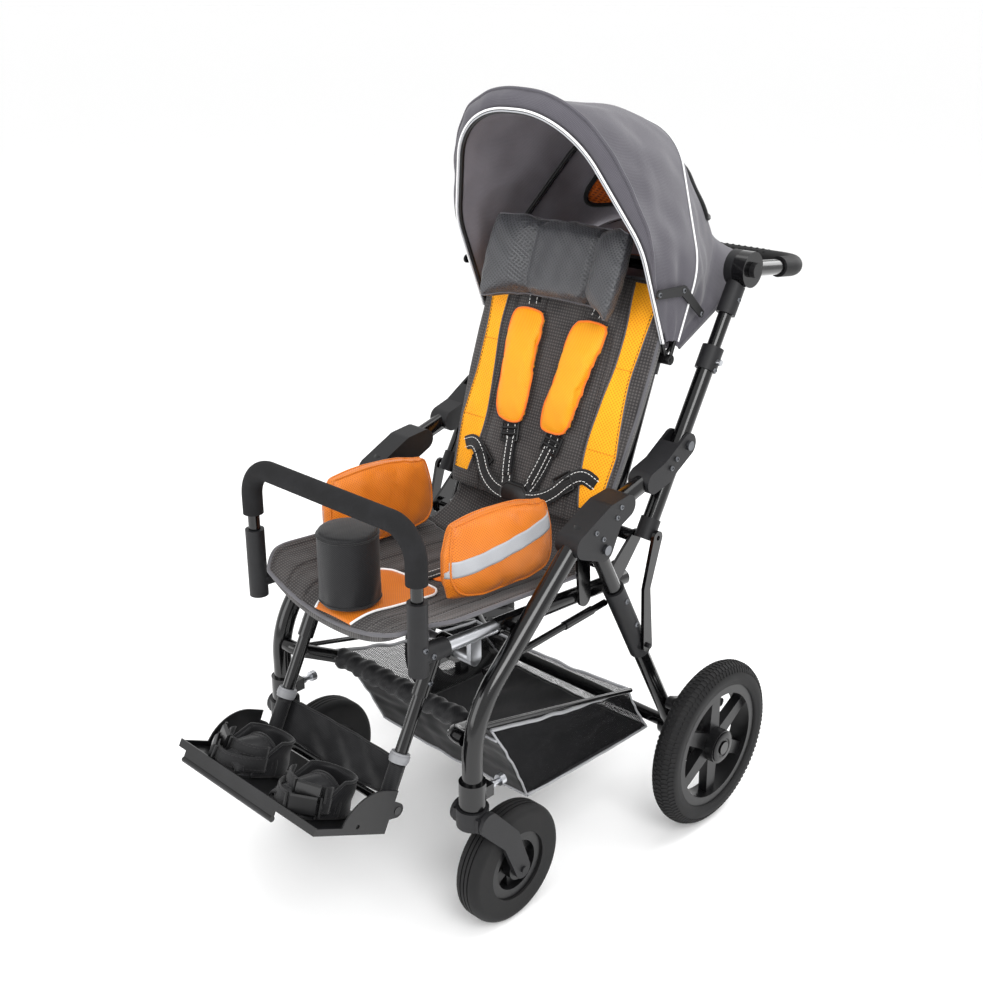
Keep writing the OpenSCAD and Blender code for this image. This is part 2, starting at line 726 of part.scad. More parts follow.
// Sliding handle tubes
module handle_risers() {
    color(black) pair()
        rod(at(side_x, pivot + 44 * up_dir), at(side_x, pivot + (joint_u - 52) * up_dir), riser_d);
}

// Joint housings on top of the sliding tubes
joint_split = side_x - 1;
disc_t = 19;
inner_disc_t = 14.8;
module handle_joints() {
    color(grey) pair() difference() {
        union() {
            pin(handle_joint, joint_split - inner_disc_t, joint_split, joint_d);
            rod(at(side_x, handle_joint - 76 * up_dir), at(side_x, handle_joint - 10 * up_dir), riser_d + 9);
        }
        pin(handle_joint, joint_split, joint_split + 60, joint_d + 2);
        rod(at(side_x, handle_joint - 80 * up_dir), at(side_x, handle_joint - 52 * up_dir), riser_d + 2 * run_gap);
    }
}

// Push bar bent round behind the hood, with its turning discs
bar_x = joint_split + seat_gap + disc_t / 2;
joint_button_d = 24;
function bar_point(s, y) = [s * bar_x, handle_joint[0] + y, handle_joint[1] - bar_drop * y / bar_reach];
bar_path = [bar_point(1, 18), bar_point(1, bar_reach), bar_point(-1, bar_reach), bar_point(-1, 18)];
module push_bar() {
    color(black) difference() {
        union() {
            bent_tube(bar_path, bar_bend_r, bar_d);
            pair() pin(handle_joint, joint_split + seat_gap, joint_split + seat_gap + disc_t + 2, joint_d);
        }
        pair() pin(handle_joint, joint_split + 12, joint_split + 60, joint_button_d + 2 * run_gap);
        pair() pin(handle_joint, joint_split - 10, joint_split + seat_gap, joint_d + 2);
    }
}

module push_grip() {
    grip_path = [bar_point(1, 92), bar_path[1], bar_path[2], bar_point(-1, 92)];
    color(black) difference() {
        bent_tube(grip_path, bar_bend_r, grip_d);
        bent_tube(bar_path, bar_bend_r, bar_d + 2 * run_gap);
    }
}

// Press buttons that free the handle joints
module joint_button_left() {
    face = joint_split + seat_gap + disc_t + 2;
    color(grey) pin(handle_joint, joint_split + 17, face + 9, joint_button_d);
}
module joint_button_right() {
    mirror([1, 0, 0]) joint_button_left();
}

// Press buttons in the clamp collars
module collar_button_left() {
    color(steel) pin(clamp_at, side_x + upright_d / 2 + 3.4, side_x + clamp_d / 2 + 6, button_d);
}
module collar_button_right() {
    mirror([1, 0, 0]) collar_button_left();
}

// Recline plates on the back hinge, each with its hinge pin and a stop arm beside the back tube
recline_x = ear_x + ear_t + 0.5;
recline_t = 5;
back_head = 10.5;
stop_bar_d = 20;
stop_bar = on_back(54, -back_d / 2 - stop_bar_d / 2 - 3);
module recline_brackets() {
    color(black) {
        pair() {
            pin(back_hinge, back_x - back_head, recline_x + 1, bolt_d);
            plate([[back_hinge, 17], [stop_bar, stop_bar_d / 2 + 3]], recline_x, recline_x + recline_t);
        }
        pin(stop_bar, -recline_x - 1, recline_x + 1, stop_bar_d);
    }
}

// Back frame: a bent tube with a lower cross bar
module back_frame() {
    color(black) translate(at(0, back_hinge)) rotate([-back_angle, 0, 0]) difference() {
        union() {
            bent_tube([[back_x, 0, 0], [back_x, 0, back_len], [-back_x, 0, back_len], [-back_x, 0, 0]],
                40, back_d);
            pin([0, 210], -back_x, back_x, back_d - 6);
            pair() pin([0, 0], back_x - back_head, back_x + back_head, back_d);
        }
        pin([0, 0], -side_x, side_x, bolt_d + 2 * run_gap);
    }
}

// Padded back with raised side bolsters and two sewn channels
clip_t = 3;
pad_from = 52;
pad_to = 440;
pad_back = back_d / 2 + clip_t + seat_gap;
pad_front = pad_back + back_t;
function back_half_at(t) = back_half * (0.82 + 0.18 * sin(90 * min(1, 0.25 + t)));
function channel(u) = 3 * exp(-pow((abs(u) - 0.56) / 0.05, 2));
module back_pad() {
    rows = [for (j = [0 : 10]) j / 10];
    cols = [for (i = [-12 : 12]) i / 12];
    function spot(u, t, n) = at(u * back_half_at(t), on_back(mix(pad_from, pad_to, t), n));
    function crown(u, t) = 8 * pow(abs(u), 8) + 6 * pow(abs(2 * t - 1), 10);
    color(cloth) slab(
        [for (t = rows) [for (u = cols) spot(u, t, pad_front - crown(u, t) - channel(u))]],
        [for (t = rows) [for (u = cols) spot(u, t, pad_back)]]);
}

// Harness: shoulder webbing and pads, waist straps and buckle, lying on the back pad
web_t = 2.5;
web_w = 25;
strap_x = 56;
module harness() {
    lie = pad_front + seat_gap;
    rows = [for (j = [-6 : 6]) j / 6];
    cols = [for (i = [-3 : 3]) i / 3];
    function pad_at(u, v, n) = at(strap_x + 8 * v + u * 27 * (1 - 0.12 * v * v),
        on_back(270 + v * 98, n));
    color(orange) pair() slab(
        [for (v = rows) [for (u = cols) pad_at(u, v, lie + 3 + 11 * swell(u, v))]],
        [for (v = rows) [for (u = cols) pad_at(u, v, lie)]]);
    color(black) pair() {
        translate(at(0, on_back(0, 0))) rotate([-back_angle, 0, 0])
            translate([strap_x - 8 - web_w / 2, -lie - web_t, 88]) cube([web_w, web_t, 80]);
        translate(at(0, on_back(0, 0))) rotate([-back_angle, 0, 0])
            translate([26, -lie - web_t, 62]) cube([110, web_t, web_w]);
    }
    color(black) translate(at(0, on_back(0, 0))) rotate([-back_angle, 0, 0])
        translate([-25, -lie - 12, 58]) cube([50, 12, 34]);
}

// Headrest with two forward wings
head_from = 382;
head_back = pad_front + seat_gap;
module headrest() {
    rows = [for (j = [-5 : 5]) j / 5];
    cols = [for (i = [-10 : 10]) i / 10];
    function bow(u) = head_wing * pow(max(0, (abs(u) - 0.42) / 0.58), 1.4);
    function full(u, v) = head_t * (0.3 + 0.7 * swell(u, v));
    function spot(u, v, n) = at(u * head_half * (1 - 0.03 * v * v),
        on_back(head_from + head_h / 2 + v * head_h / 2, head_back + bow(u) + n));
    color(cloth) slab(
        [for (v = rows) [for (u = cols) spot(u, v, head_t * 0.35 + full(u, v) * 0.65)]],
        [for (v = rows) [for (u = cols) spot(u, v, head_t * 0.35 - full(u, v) * 0.35)]]);
}

// Clips on the back tubes that carry the hood pins
hoop_step = hoop_d + 0.6;
hood_pin_d = 6;
module hood_clips() {
    color(black) pair() difference() {
        union() {
            rod(at(back_x, on_back(306, 0)), at(back_x, on_back(352, 0)), back_d + 2 * clip_t);
            pin(hood_pin, back_x, hoop_half + hoop_d / 2 + 1, hood_pin_d);
        }
        rod(at(back_x, on_back(300, 0)), at(back_x, on_back(360, 0)), back_d + 2 * run_gap);
    }
}

// A hood hoop with eyes on the hood pins; order 0 is outermost
// Shapes of the hoops from front to rear: drop and inset of the shoulder corners, bend radius
hoop_shapes = [[197, 85, 135], [211, 112, 128], [180, 95, 118]];
module hood_hoop(order, length, angle, shape) {
    half = hoop_half - order * hoop_step;
    side = [[half, 0, 5], [half, 0, length - shape[0]], [half - shape[1], 0, length]];
    path = concat(side, [for (i = [2 : -1 : 0]) [-side[i][0], 0, side[i][2]]]);
    color(black) translate(at(0, hood_pin)) rotate([angle, 0, 0]) difference() {
        union() {
            bent_tube(path, shape[2], hoop_d);
            pair() pin([0, 0], half - hoop_d / 2, half + hoop_d / 2, hood_pin_d + 10);
        }
        pin([0, 0], -side_x, side_x, hood_pin_d + 2 * run_gap);
    }
}
module hood_front_hoop() {
    hood_hoop(1, hoop_front_len, hoop_front_a, hoop_shapes[0]);
}
module hood_mid_hoop() {
    hood_hoop(0, hoop_mid_len, hoop_mid_a, hoop_shapes[1]);
}
module hood_rear_hoop() {
    hood_hoop(2, hoop_rear_len, hoop_rear_a, hoop_shapes[2]);
}

// Elbow stays outside the hood that hold the front hoop out
hood_room = 1.2;
hood_out = hoop_half + hoop_d / 2 + hood_room + hood_t;
module hood_stays() {
    front = hood_pin + 118 * lean(hoop_front_a);
    middle = hood_pin + [16, 106];
    rear = hood_pin + [66, 62];
    color(black) pair() plate([[front, 7], [middle, 8], [rear, 6]], hood_out + seat_gap, hood_out + seat_gap + 2.4);
}

// Hood fabric over the hoops, open in front and below
visor_out = 22;
visor_back = 3;
module hood_cover() {
    fan_from = 30;
    split = 0.56;
    bays = concat([-1], [for (j = [0 : 6]) j / 6 * split], [for (j = [1 : 6]) mix(split, 1, j / 6)]);
    // A value that runs from the front hoop over the middle hoop to the rear hoop
    function along_hood(t, front, mid, rear) = t < 0 ? front : t < split ? mix(front, mid, t / split)
        : mix(mid, rear, (t - split) / (1 - split));
    function slack(t) = t < 0 ? 0 : 8 * abs(sin(along_hood(t, 0, 180, 360)));
    // Half of one arch, from its foot to the crown, as [x, height]
    function half_arch(half, length, shape, gap) = let (bend = shape[2], turn = atan2(shape[1], shape[0]),
        r = (bend + gap) / cos((90 - turn) / 12), low = length - shape[0] - bend * tan(turn / 2),
        top_x = half - shape[1] - bend * tan((90 - turn) / 2)) concat(
        [for (i = [0 : 4]) [half + gap, fan_from + (low - fan_from) * i / 5]],
        [for (i = [0 : 4]) [half - bend + r * cos(turn * i / 4), low + r * sin(turn * i / 4)]],
        [for (i = [0 : 6]) let (a = mix(turn, 90, i / 6)) [top_x + r * cos(a), length - bend + r * sin(a)]]);
    function flare(p, q) = mix(p, q, min(1, max(0, (p[1] - 110) / 160)));
    function bay(t, out) = let (gap = hoop_d / 2 + hood_room + out, half = along_hood(t, hoop_half - hoop_step,
        hoop_half, hoop_half - 2 * hoop_step), length = along_hood(t, hoop_front_len, hoop_mid_len, hoop_rear_len),
        shape = along_hood(t, hoop_shapes[0], hoop_shapes[1], hoop_shapes[2]),
        near = half_arch(half, length, shape, gap), far = half_arch(half, length, shape, gap + visor_out),
        arch = [for (i = [0 : len(near) - 1]) t < 0 ? flare(near[i], far[i]) : near[i]],
        angle = along_hood(t, hoop_front_a, hoop_mid_a, hoop_rear_a), last = len(arch) - 1)
        [for (k = [0 : 2 * last + 1]) let (p = arch[k <= last ? k : 2 * last + 1 - k],
            h = p[1] - slack(t) * max(0, p[1] - fan_from) / hoop_front_len,
            back = t < 0 ? visor_back * min(1, max(0, (p[1] - 90) / 160)) : 0,
            q = hood_pin + h * lean(angle - back)) at((k <= last ? 1 : -1) * p[0], q)];
    color(cloth) slab([for (t = bays) bay(t, 0)], [for (t = bays) bay(t, hood_t)]);
}

// Sliding seat frame: two tubes in the rails and the cross tube that carries the foot hangers
hanger_tube_d = 22;
extender_front_y = -530;
module seat_extenders() {
    color(steel) {
        pair() {
            rod(at(rail_x, rail_rear + 150 * rail_dir), at(rail_x, rail_at(extender_front_y)), extender_d);
            plate([[rail_at(hanger_axis[0]), 10], [hanger_axis, hanger_tube_d / 2]], rail_x - 4, rail_x + 4);
        }
        pin(hanger_axis, -rail_x, rail_x, hanger_tube_d);
    }
}

// Front brackets with the sockets of the grab bar
socket_d = grab_d + 11;
socket_low = 456;
socket_high = 565;
module front_brackets() {
    end = rail_at(extender_front_y);
    color(grey) pair() difference() {
        union() {
            translate([rail_x, -grab_y, socket_low]) cylinder(d = socket_d, h = socket_high - socket_low);
            rod(at(rail_x, rail_at(-grab_y)), at(rail_x, rail_at(extender_front_y + 26)), extender_d + 9);
        }
        translate([rail_x, -grab_y, socket_low - 1])
            cylinder(d = grab_d + 2 * run_gap, h = socket_high - socket_low + 2);
        rod(at(rail_x, end), at(rail_x, rail_at(extender_front_y + 30)), extender_d + 2 * run_gap);
    }
}

// Grab bar tube with its posts, and the foam over it
grab_low = 472;
foam_low = 591;
function grab_path(z) = [[rail_x, -grab_y, z], [rail_x, -grab_y, grab_z], [-rail_x, -grab_y, grab_z],
    [-rail_x, -grab_y, z]];
module grab_bar() {
    color(black) bent_tube(grab_path(grab_low), grab_bend_r, grab_d);
}
module grab_foam() {
    color(grey) difference() {
        bent_tube(grab_path(foam_low), grab_bend_r, foam_d);
        bent_tube(grab_path(foam_low - 2), grab_bend_r, grab_d + 2 * run_gap);
    }
}

// Foot hangers that turn on the seat's cross tube
knuckle_d = hanger_tube_d + 12;
hanger_len = 76;
module foot_hangers() {
    color(black) pair() difference() {
        union() {
            pin(hanger_axis, foot_x - 18, foot_x + 18, knuckle_d);
            rod(at(foot_x, on_foot(-6, 0)), at(foot_x, on_foot(hanger_len, 0)), foot_d + 6);
            plate([[hanger_axis, knuckle_d / 2], [on_foot(18, -8), 9]], foot_x - 6, foot_x + 6);
        }
        pin(hanger_axis, foot_x - 30, foot_x + 30, hanger_tube_d + 2 * run_gap);
        rod(at(foot_x, on_foot(-8, 0)), at(foot_x, on_foot(hanger_len + 2, 0)), foot_d + 2 * run_gap);
    }
}

// Sliding foot tubes with clamp rings, hole rows and the footplate's pivot bar
ring_at = 169;
pivot_bar_d = 12;
module foot_tubes() {
    color(black) difference() {
        union() {
            pair() {
                rod(at(foot_x, on_foot(34, 0)), at(foot_x, foot_pivot), foot_d);
                rod(at(foot_x, on_foot(ring_at - 7, 0)), at(foot_x, on_foot(ring_at + 7, 0)), foot_d + 8);
            }
            pin(foot_pivot, -plate_half - 1, plate_half + 1, pivot_bar_d);
        }
        pair() for (i = [0 : 4]) {
            translate(at(foot_x, on_foot(92 + 14 * i, 0))) rotate([foot_angle, 0, 0])
                rotate([90, 0, 0]) cylinder(d = 5, h = foot_d + 2, center = true);
        }
    }
}

// Calf strap hung between the foot tubes, slack in the middle
module calf_strap() {
    rows = [for (j = [0 : 6]) j / 6];
    cols = [for (i = [-12 : 12]) i / 12];
    function slack(u, t) = 16 * (1 - u * u) * (0.55 + 0.45 * t) + 3 * sin(u * 400) * sin(180 * t) * (1 - u * u);
    function spot(u, t, n) = at(u * (foot_x + 6), on_foot(mix(ring_at + 9, foot_len - 12, t) + 6 * (1 - u * u) * t,
        -foot_d / 2 - seat_gap - slack(u, t) - n));
    color(black) slab([for (t = rows) [for (u = cols) spot(u, t, 3)]], [for (t = rows) [for (u = cols) spot(u, t, 0)]]);
}

// Footplate of folded sheet with side guards; its own frame has the pivot bar at the origin
plate_tilt = -26.7;
plate_z = -34.5;
plate_rear = -11;
module on_plate() {
    translate(at(0, foot_pivot)) rotate([plate_tilt, 0, 0]) children();
}
module guard_outline() {
    difference() {
        union() {
            intersection() {
                translate([-36, plate_z]) scale(guard_h / 100) circle(100);
                translate([-36 - guard_h, plate_z]) square([guard_h, guard_h]);
            }
            translate([-36 - guard_h * 0.9, plate_z]) square([guard_h * 0.9, 22]);
            translate([-plate_len, plate_z]) square([plate_len - 60, 10]);
            translate([-37, plate_z]) square([37 + plate_rear, guard_h]);
            tapered_bar([-24, 0], [0, 0], 16, 11);
        }
        circle(d = pivot_bar_d + 2 * run_gap);
        translate([-70, plate_z + 11.5]) circle(d = guard_hole_d);
    }
}
module footplate() {
    lip_d = 9;
    color(black) on_plate() difference() {
        union() {
            translate([-plate_half, -plate_len, plate_z]) cube([2 * plate_half, plate_len + plate_rear, sheet_t]);
            pair() translate([plate_half - sheet_t, 0, 0]) rotate([90, 0, 90]) linear_extrude(sheet_t) guard_outline();
            translate([-plate_half, -plate_len, plate_z]) cube([2 * plate_half, sheet_t, 12]);
            translate([-plate_half * 0.9, -plate_len + 4, plate_z - 14]) rotate([0, 90, 0])
                cylinder(d = lip_d, h = plate_half * 1.35);
            translate([-plate_half * 0.9, -plate_len + 2, plate_z - 14]) cube([plate_half * 1.35, 4, 15]);
        }
        pair() translate([plate_half * 0.28, plate_rear - 30, plate_z - 1]) cube([plate_half * 0.36, 16, sheet_t + 2]);
    }
}

// Strap sandals on the footplate: heel cup, toe strap and sole
sandal_w = 88;
module foot_straps() {
    floor_z = plate_z + sheet_t + seat_gap;
    heel_y = -plate_len + 86;
    toe_y = -plate_len + 34;
    color(black) on_plate() pair() translate([plate_half * 0.46, 0, floor_z]) {
        translate([-sandal_w / 2, toe_y - 26, 0]) cube([sandal_w, heel_y - toe_y + 26, 5]);
        translate([0, heel_y, 0]) rotate_extrude(angle = 180) translate([sandal_w / 2 - 5, 0]) square([5, 52]);
        for (s = [-1, 1]) {
            translate([s * (sandal_w / 2 - 2.5) - 2.5, toe_y, 0]) cube([5, heel_y - toe_y, 40]);
        }
        translate([0, toe_y + 32, 4]) rotate([90, 0, 0]) rotate_extrude(angle = 180)
            translate([sandal_w / 2 - 5, 0]) square([5, 32]);
    }
}

// Caster forks with their stems and axle pins
fork_gap = caster_w / 2 + 2.5;
fork_t = 8;
caster_pin_d = 10;
module fork(side) {
    color(grey) mirror([side < 0 ? 1 : 0, 0, 0]) translate([side_x, 0, 0]) {
        translate([0, stem_y, crown_top - 1]) cylinder(d = stem_d, h = 58);
        translate([0, stem_y, crown_top - 30]) cylinder(d = 2 * fork_gap - 1, h = 30);
        for (s = [-1, 1]) {
            plate([[[stem_y + 4, crown_top - 20], 18], [mix([stem_y, crown_top], caster_axle, 0.55) + [8, 4], 17],
                [caster_axle, 15]], s * (fork_gap + fork_t / 2) - fork_t / 2, s * (fork_gap + fork_t / 2) + fork_t / 2);
        }
        pin(caster_axle, -fork_gap - fork_t - 3, fork_gap + fork_t + 3, caster_pin_d);
        translate([-fork_gap - 1, stem_y - 15, crown_top - 28]) cube([2 * fork_gap + 2, 30, 21]);
    }
}
module fork_left() {
    fork(1);
}
module fork_right() {
    fork(-1);
}

module front_wheel(side) {
    color(grey) mirror([side < 0 ? 1 : 0, 0, 0]) difference() {
        translate([side_x, caster_axle[0], caster_axle[1]])
            spoked_wheel(caster_rim_d, caster_w - 8, 42, 2 * fork_gap - 1, 14);
        pin(caster_axle, side_x - caster_w, side_x + caster_w, caster_pin_d + 2 * run_gap);
    }
}
module front_wheel_left() {
    front_wheel(1);
}
module front_wheel_right() {
    front_wheel(-1);
}

// Front tyre with a flat ribbed tread
module front_tyre(side) {
    r = caster_d / 2;
    shoulder = 13;
    color(black) translate([side * side_x, caster_axle[0], caster_axle[1]]) rotate([0, 90, 0])
        rotate_extrude($fn = 96) difference() {
            union() {
                translate([0, -caster_w / 2 + shoulder]) square([r, caster_w - 2 * shoulder]);
                translate([0, -caster_w / 2]) square([r - shoulder, caster_w]);
                for (s = [-1, 1]) {
                    translate([r - shoulder, s * (caster_w / 2 - shoulder)]) circle(shoulder);
                }
            }
            translate([-r, -r]) square([r + caster_rim_d / 2 + run_gap, 2 * r]);
            for (s = [-1, 0, 1]) {
                translate([r - 2, s * 7 - 1]) square([4, 2]);
            }
        }
}
module front_tyre_left() {
    front_tyre(1);
}
module front_tyre_right() {
    front_tyre(-1);
}

// Pull pins that lock the casters straight ahead
module swivel_lock(side) {
    start = stem_y + stem_d / 2 + 8;
    knob_y = stem_y + collar_d / 2 + 16;
    color(steel) translate([side * side_x, 0, lock_z]) {
        translate([0, start, 0]) rotate([-90, 0, 0]) cylinder(d = lock_d, h = knob_y + 20 - start);
        translate([0, knob_y, 0]) rotate([-90, 0, 0]) cylinder(d = 12, h = 6);
        translate([0, knob_y + 18, 0]) rotate([-90, 0, 0]) cylinder(d = 17, h = 9);
    }
}
module swivel_lock_left() {
    swivel_lock(1);
}
module swivel_lock_right() {
    swivel_lock(-1);
}

front_legs();
arm_tubes();
hub_brackets();
arm_joints();
cross_members();
seat_rails();
seat_stays();
seat_pad();
thigh_pads();
pommel();
basket();
pivot_bolts();
rear_legs();
leg_sleeves();
rear_axle();
brake_lever_left();
brake_lever_right();
rear_wheel_left();
rear_wheel_right();
rear_tyre_left();
rear_tyre_right();
fold_links();
handle_tubes();
handle_collars();
handle_risers();
handle_joints();
push_bar();
push_grip();
joint_button_left();
joint_button_right();
collar_button_left();
collar_button_right();
recline_brackets();
back_frame();
back_pad();
harness();
headrest();
hood_clips();
hood_rear_hoop();
hood_mid_hoop();
hood_front_hoop();
hood_stays();
hood_cover();
seat_extenders();
front_brackets();
grab_bar();
grab_foam();
foot_hangers();
foot_tubes();
calf_strap();
footplate();
foot_straps();
fork_left();
fork_right();
front_wheel_left();
front_wheel_right();
front_tyre_left();
front_tyre_right();
swivel_lock_left();
swivel_lock_right();
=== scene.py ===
"""Looks of the special needs buggy: cloth, pads, straps, tyres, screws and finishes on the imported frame."""
import logging
import math
from dataclasses import dataclass, field
from enum import Enum
from typing import Any, Callable, Sequence

import bmesh
import bpy
import numpy as np
from mathutils import Matrix, Vector
from mathutils.bvhtree import BVHTree


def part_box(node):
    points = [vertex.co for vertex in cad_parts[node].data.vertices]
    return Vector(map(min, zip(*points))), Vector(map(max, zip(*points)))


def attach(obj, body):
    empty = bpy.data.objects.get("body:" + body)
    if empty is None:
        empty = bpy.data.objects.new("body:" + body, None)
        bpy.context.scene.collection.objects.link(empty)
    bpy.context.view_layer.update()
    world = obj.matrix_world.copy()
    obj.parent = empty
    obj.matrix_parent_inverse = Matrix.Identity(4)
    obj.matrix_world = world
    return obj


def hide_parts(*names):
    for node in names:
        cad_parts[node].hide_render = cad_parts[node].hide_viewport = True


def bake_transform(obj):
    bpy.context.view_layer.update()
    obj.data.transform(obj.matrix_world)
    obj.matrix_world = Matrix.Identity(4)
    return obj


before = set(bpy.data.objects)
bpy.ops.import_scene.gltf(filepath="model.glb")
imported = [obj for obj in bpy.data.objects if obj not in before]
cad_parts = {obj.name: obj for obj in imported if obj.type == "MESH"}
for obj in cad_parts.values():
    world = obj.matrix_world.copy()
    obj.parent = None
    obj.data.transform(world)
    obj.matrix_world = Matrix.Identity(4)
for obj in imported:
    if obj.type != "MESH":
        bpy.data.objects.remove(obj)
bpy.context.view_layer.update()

LOG = logging.getLogger("buggy")
MM = 0.001
Grid = np.ndarray
Faces = list[tuple[int, ...]]
Part = tuple[Grid, Faces, Grid]


# Colours and finishes

def linear(code: str) -> tuple[float, float, float, float]:
    """Turns an sRGB hex colour into Blender's linear colour.

    Args:
        code: six hex digits.

    Returns:
        Red, green, blue and alpha.
    """
    parts = [int(code[i:i + 2], 16) / 255 for i in (0, 2, 4)]
    return tuple(c / 12.92 if c <= 0.04045 else ((c + 0.055) / 1.055) ** 2.4 for c in parts) + (1.0,)


def add(tree: bpy.types.NodeTree, kind: str, inputs: dict[Any, Any] | None = None,
        **settings: Any) -> bpy.types.Node:
    """Adds a node with its settings, and sets or links its inputs.

    Args:
        tree: the tree that gets the node.
        kind: the node's type name.
        inputs: input name or number to a value or to another node's output socket.
        settings: attributes of the node.

    Returns:
        The node.
    """
    node = tree.nodes.new(kind)
    for key, value in settings.items():
        setattr(node, key, value)
    for key, value in (inputs or {}).items():
        if isinstance(value, bpy.types.NodeSocket):
            tree.links.new(value, node.inputs[key])
        else:
            node.inputs[key].default_value = value
    return node


class Weave(Enum):
    """How a cloth's threads lie."""

    PLAIN = "plain"
    RIB = "rib"
    SPACER = "spacer"
    TWILL = "twill"
    CORD = "cord"
    NET = "net"


def start_material(name: str) -> tuple[bpy.types.Material, bpy.types.NodeTree, bpy.types.Node]:
    """Makes an empty node material and its Principled shader.

    Args:
        name: the material's name.

    Returns:
        The material, its tree and the shader node.
    """
    material = bpy.data.materials.new(name)
    material.use_nodes = True
    tree = material.node_tree
    tree.nodes.clear()
    shader = add(tree, "ShaderNodeBsdfPrincipled")
    add(tree, "ShaderNodeOutputMaterial", {"Surface": shader.outputs["BSDF"]})
    return material, tree, shader


@dataclass(frozen=True)
class Cloth:
    """A woven or knitted cloth whose threads follow the piece's own UV map, which is in metres."""

    name: str
    light: str
    dark: str
    pitch_mm: float
    weave: Weave
    roughness: float = 0.82
    sheen: float = 0.15
    relief: float = 0.45
    gloss: float = 0.25
    crease_mm: float = 0.0

    def build(self) -> bpy.types.Material:
        """Builds the material: thread pattern, slow colour drift, fine bump and sheen."""
        material, tree, shader = start_material(self.name)
        place = add(tree, "ShaderNodeTexCoord")
        turn = math.radians(45) if self.weave in (Weave.SPACER, Weave.TWILL) else 0.0
        spot = add(tree, "ShaderNodeMapping", {"Vector": place.outputs["UV"], "Rotation": (0, 0, turn)})
        # A wave texture's bands repeat every pi / 10 units over its scale
        scale = math.pi / 10 / (self.pitch_mm * MM)
        across = add(tree, "ShaderNodeTexWave", {"Vector": spot.outputs[0], "Scale": scale},
                     bands_direction="X", wave_profile="SIN")
        down = add(tree, "ShaderNodeTexWave", {"Vector": spot.outputs[0], "Scale": scale},
                   bands_direction="Y", wave_profile="SIN")
        mode = {Weave.PLAIN: "MULTIPLY", Weave.SPACER: "MAXIMUM", Weave.NET: "MAXIMUM"}.get(self.weave, "ADD")
        if self.weave in (Weave.TWILL, Weave.CORD):
            threads = down.outputs["Fac"]
        elif self.weave is Weave.RIB:
            soft = add(tree, "ShaderNodeMath", {0: down.outputs["Fac"], 1: 0.55}, operation="MULTIPLY")
            threads = add(tree, "ShaderNodeMath", {0: across.outputs["Fac"], 1: soft.outputs[0]},
                          operation="MULTIPLY").outputs[0]
        else:
            threads = add(tree, "ShaderNodeMath", {0: across.outputs["Fac"], 1: down.outputs["Fac"]},
                          operation=mode).outputs[0]
        # Colour drifts over about 50 mm, as handled cloth does
        drift = add(tree, "ShaderNodeTexNoise",
                    {"Vector": place.outputs["Object"], "Scale": 20.0, "Detail": 3.0})
        amount = add(tree, "ShaderNodeMath", {0: drift.outputs["Fac"], 1: 0.5, 2: threads},
                     operation="MULTIPLY_ADD")
        tone = add(tree, "ShaderNodeMapRange",
                   {"Value": amount.outputs[0], "From Min": 0.15, "From Max": 1.25})
        colour = add(tree, "ShaderNodeMix", {0: tone.outputs[0], 6: linear(self.dark), 7: linear(self.light)},
                     data_type="RGBA")
        tree.links.new(colour.outputs[2], shader.inputs["Base Color"])
        rough = add(tree, "ShaderNodeMapRange", {"Value": drift.outputs["Fac"],
                                                 "To Min": self.roughness - 0.08,
                                                 "To Max": self.roughness + 0.08})
        tree.links.new(rough.outputs[0], shader.inputs["Roughness"])
        bump = add(tree, "ShaderNodeBump", {"Height": threads, "Strength": self.relief,
                                            "Distance": self.pitch_mm * MM * 0.25})
        if self.crease_mm:
            # Soft creases about 100 mm apart, drawn out along the cloth
            long = add(tree, "ShaderNodeMapping",
                       {"Vector": place.outputs["Object"], "Scale": (1.0, 0.7, 0.45)})
            folds = add(tree, "ShaderNodeTexNoise", {"Vector": long.outputs[0], "Scale": 10.0, "Detail": 2.0,
                                                     "Roughness": 0.5, "Distortion": 0.5})
            crumple = add(tree, "ShaderNodeBump", {"Height": folds.outputs["Fac"], "Strength": 0.8,
                                                   "Distance": self.crease_mm * MM})
            tree.links.new(crumple.outputs[0], bump.inputs["Normal"])
        tree.links.new(bump.outputs[0], shader.inputs["Normal"])
        shader.inputs["Specular IOR Level"].default_value = self.gloss
        shader.inputs["Sheen Weight"].default_value = self.sheen
        shader.inputs["Sheen Roughness"].default_value = 0.5
        if self.weave is Weave.NET:
            holes = add(tree, "ShaderNodeMapRange", {"Value": threads, "From Min": 0.8, "From Max": 0.93,
                                                     "To Min": 0.05, "To Max": 1.0})
            tree.links.new(holes.outputs[0], shader.inputs["Alpha"])
        return material


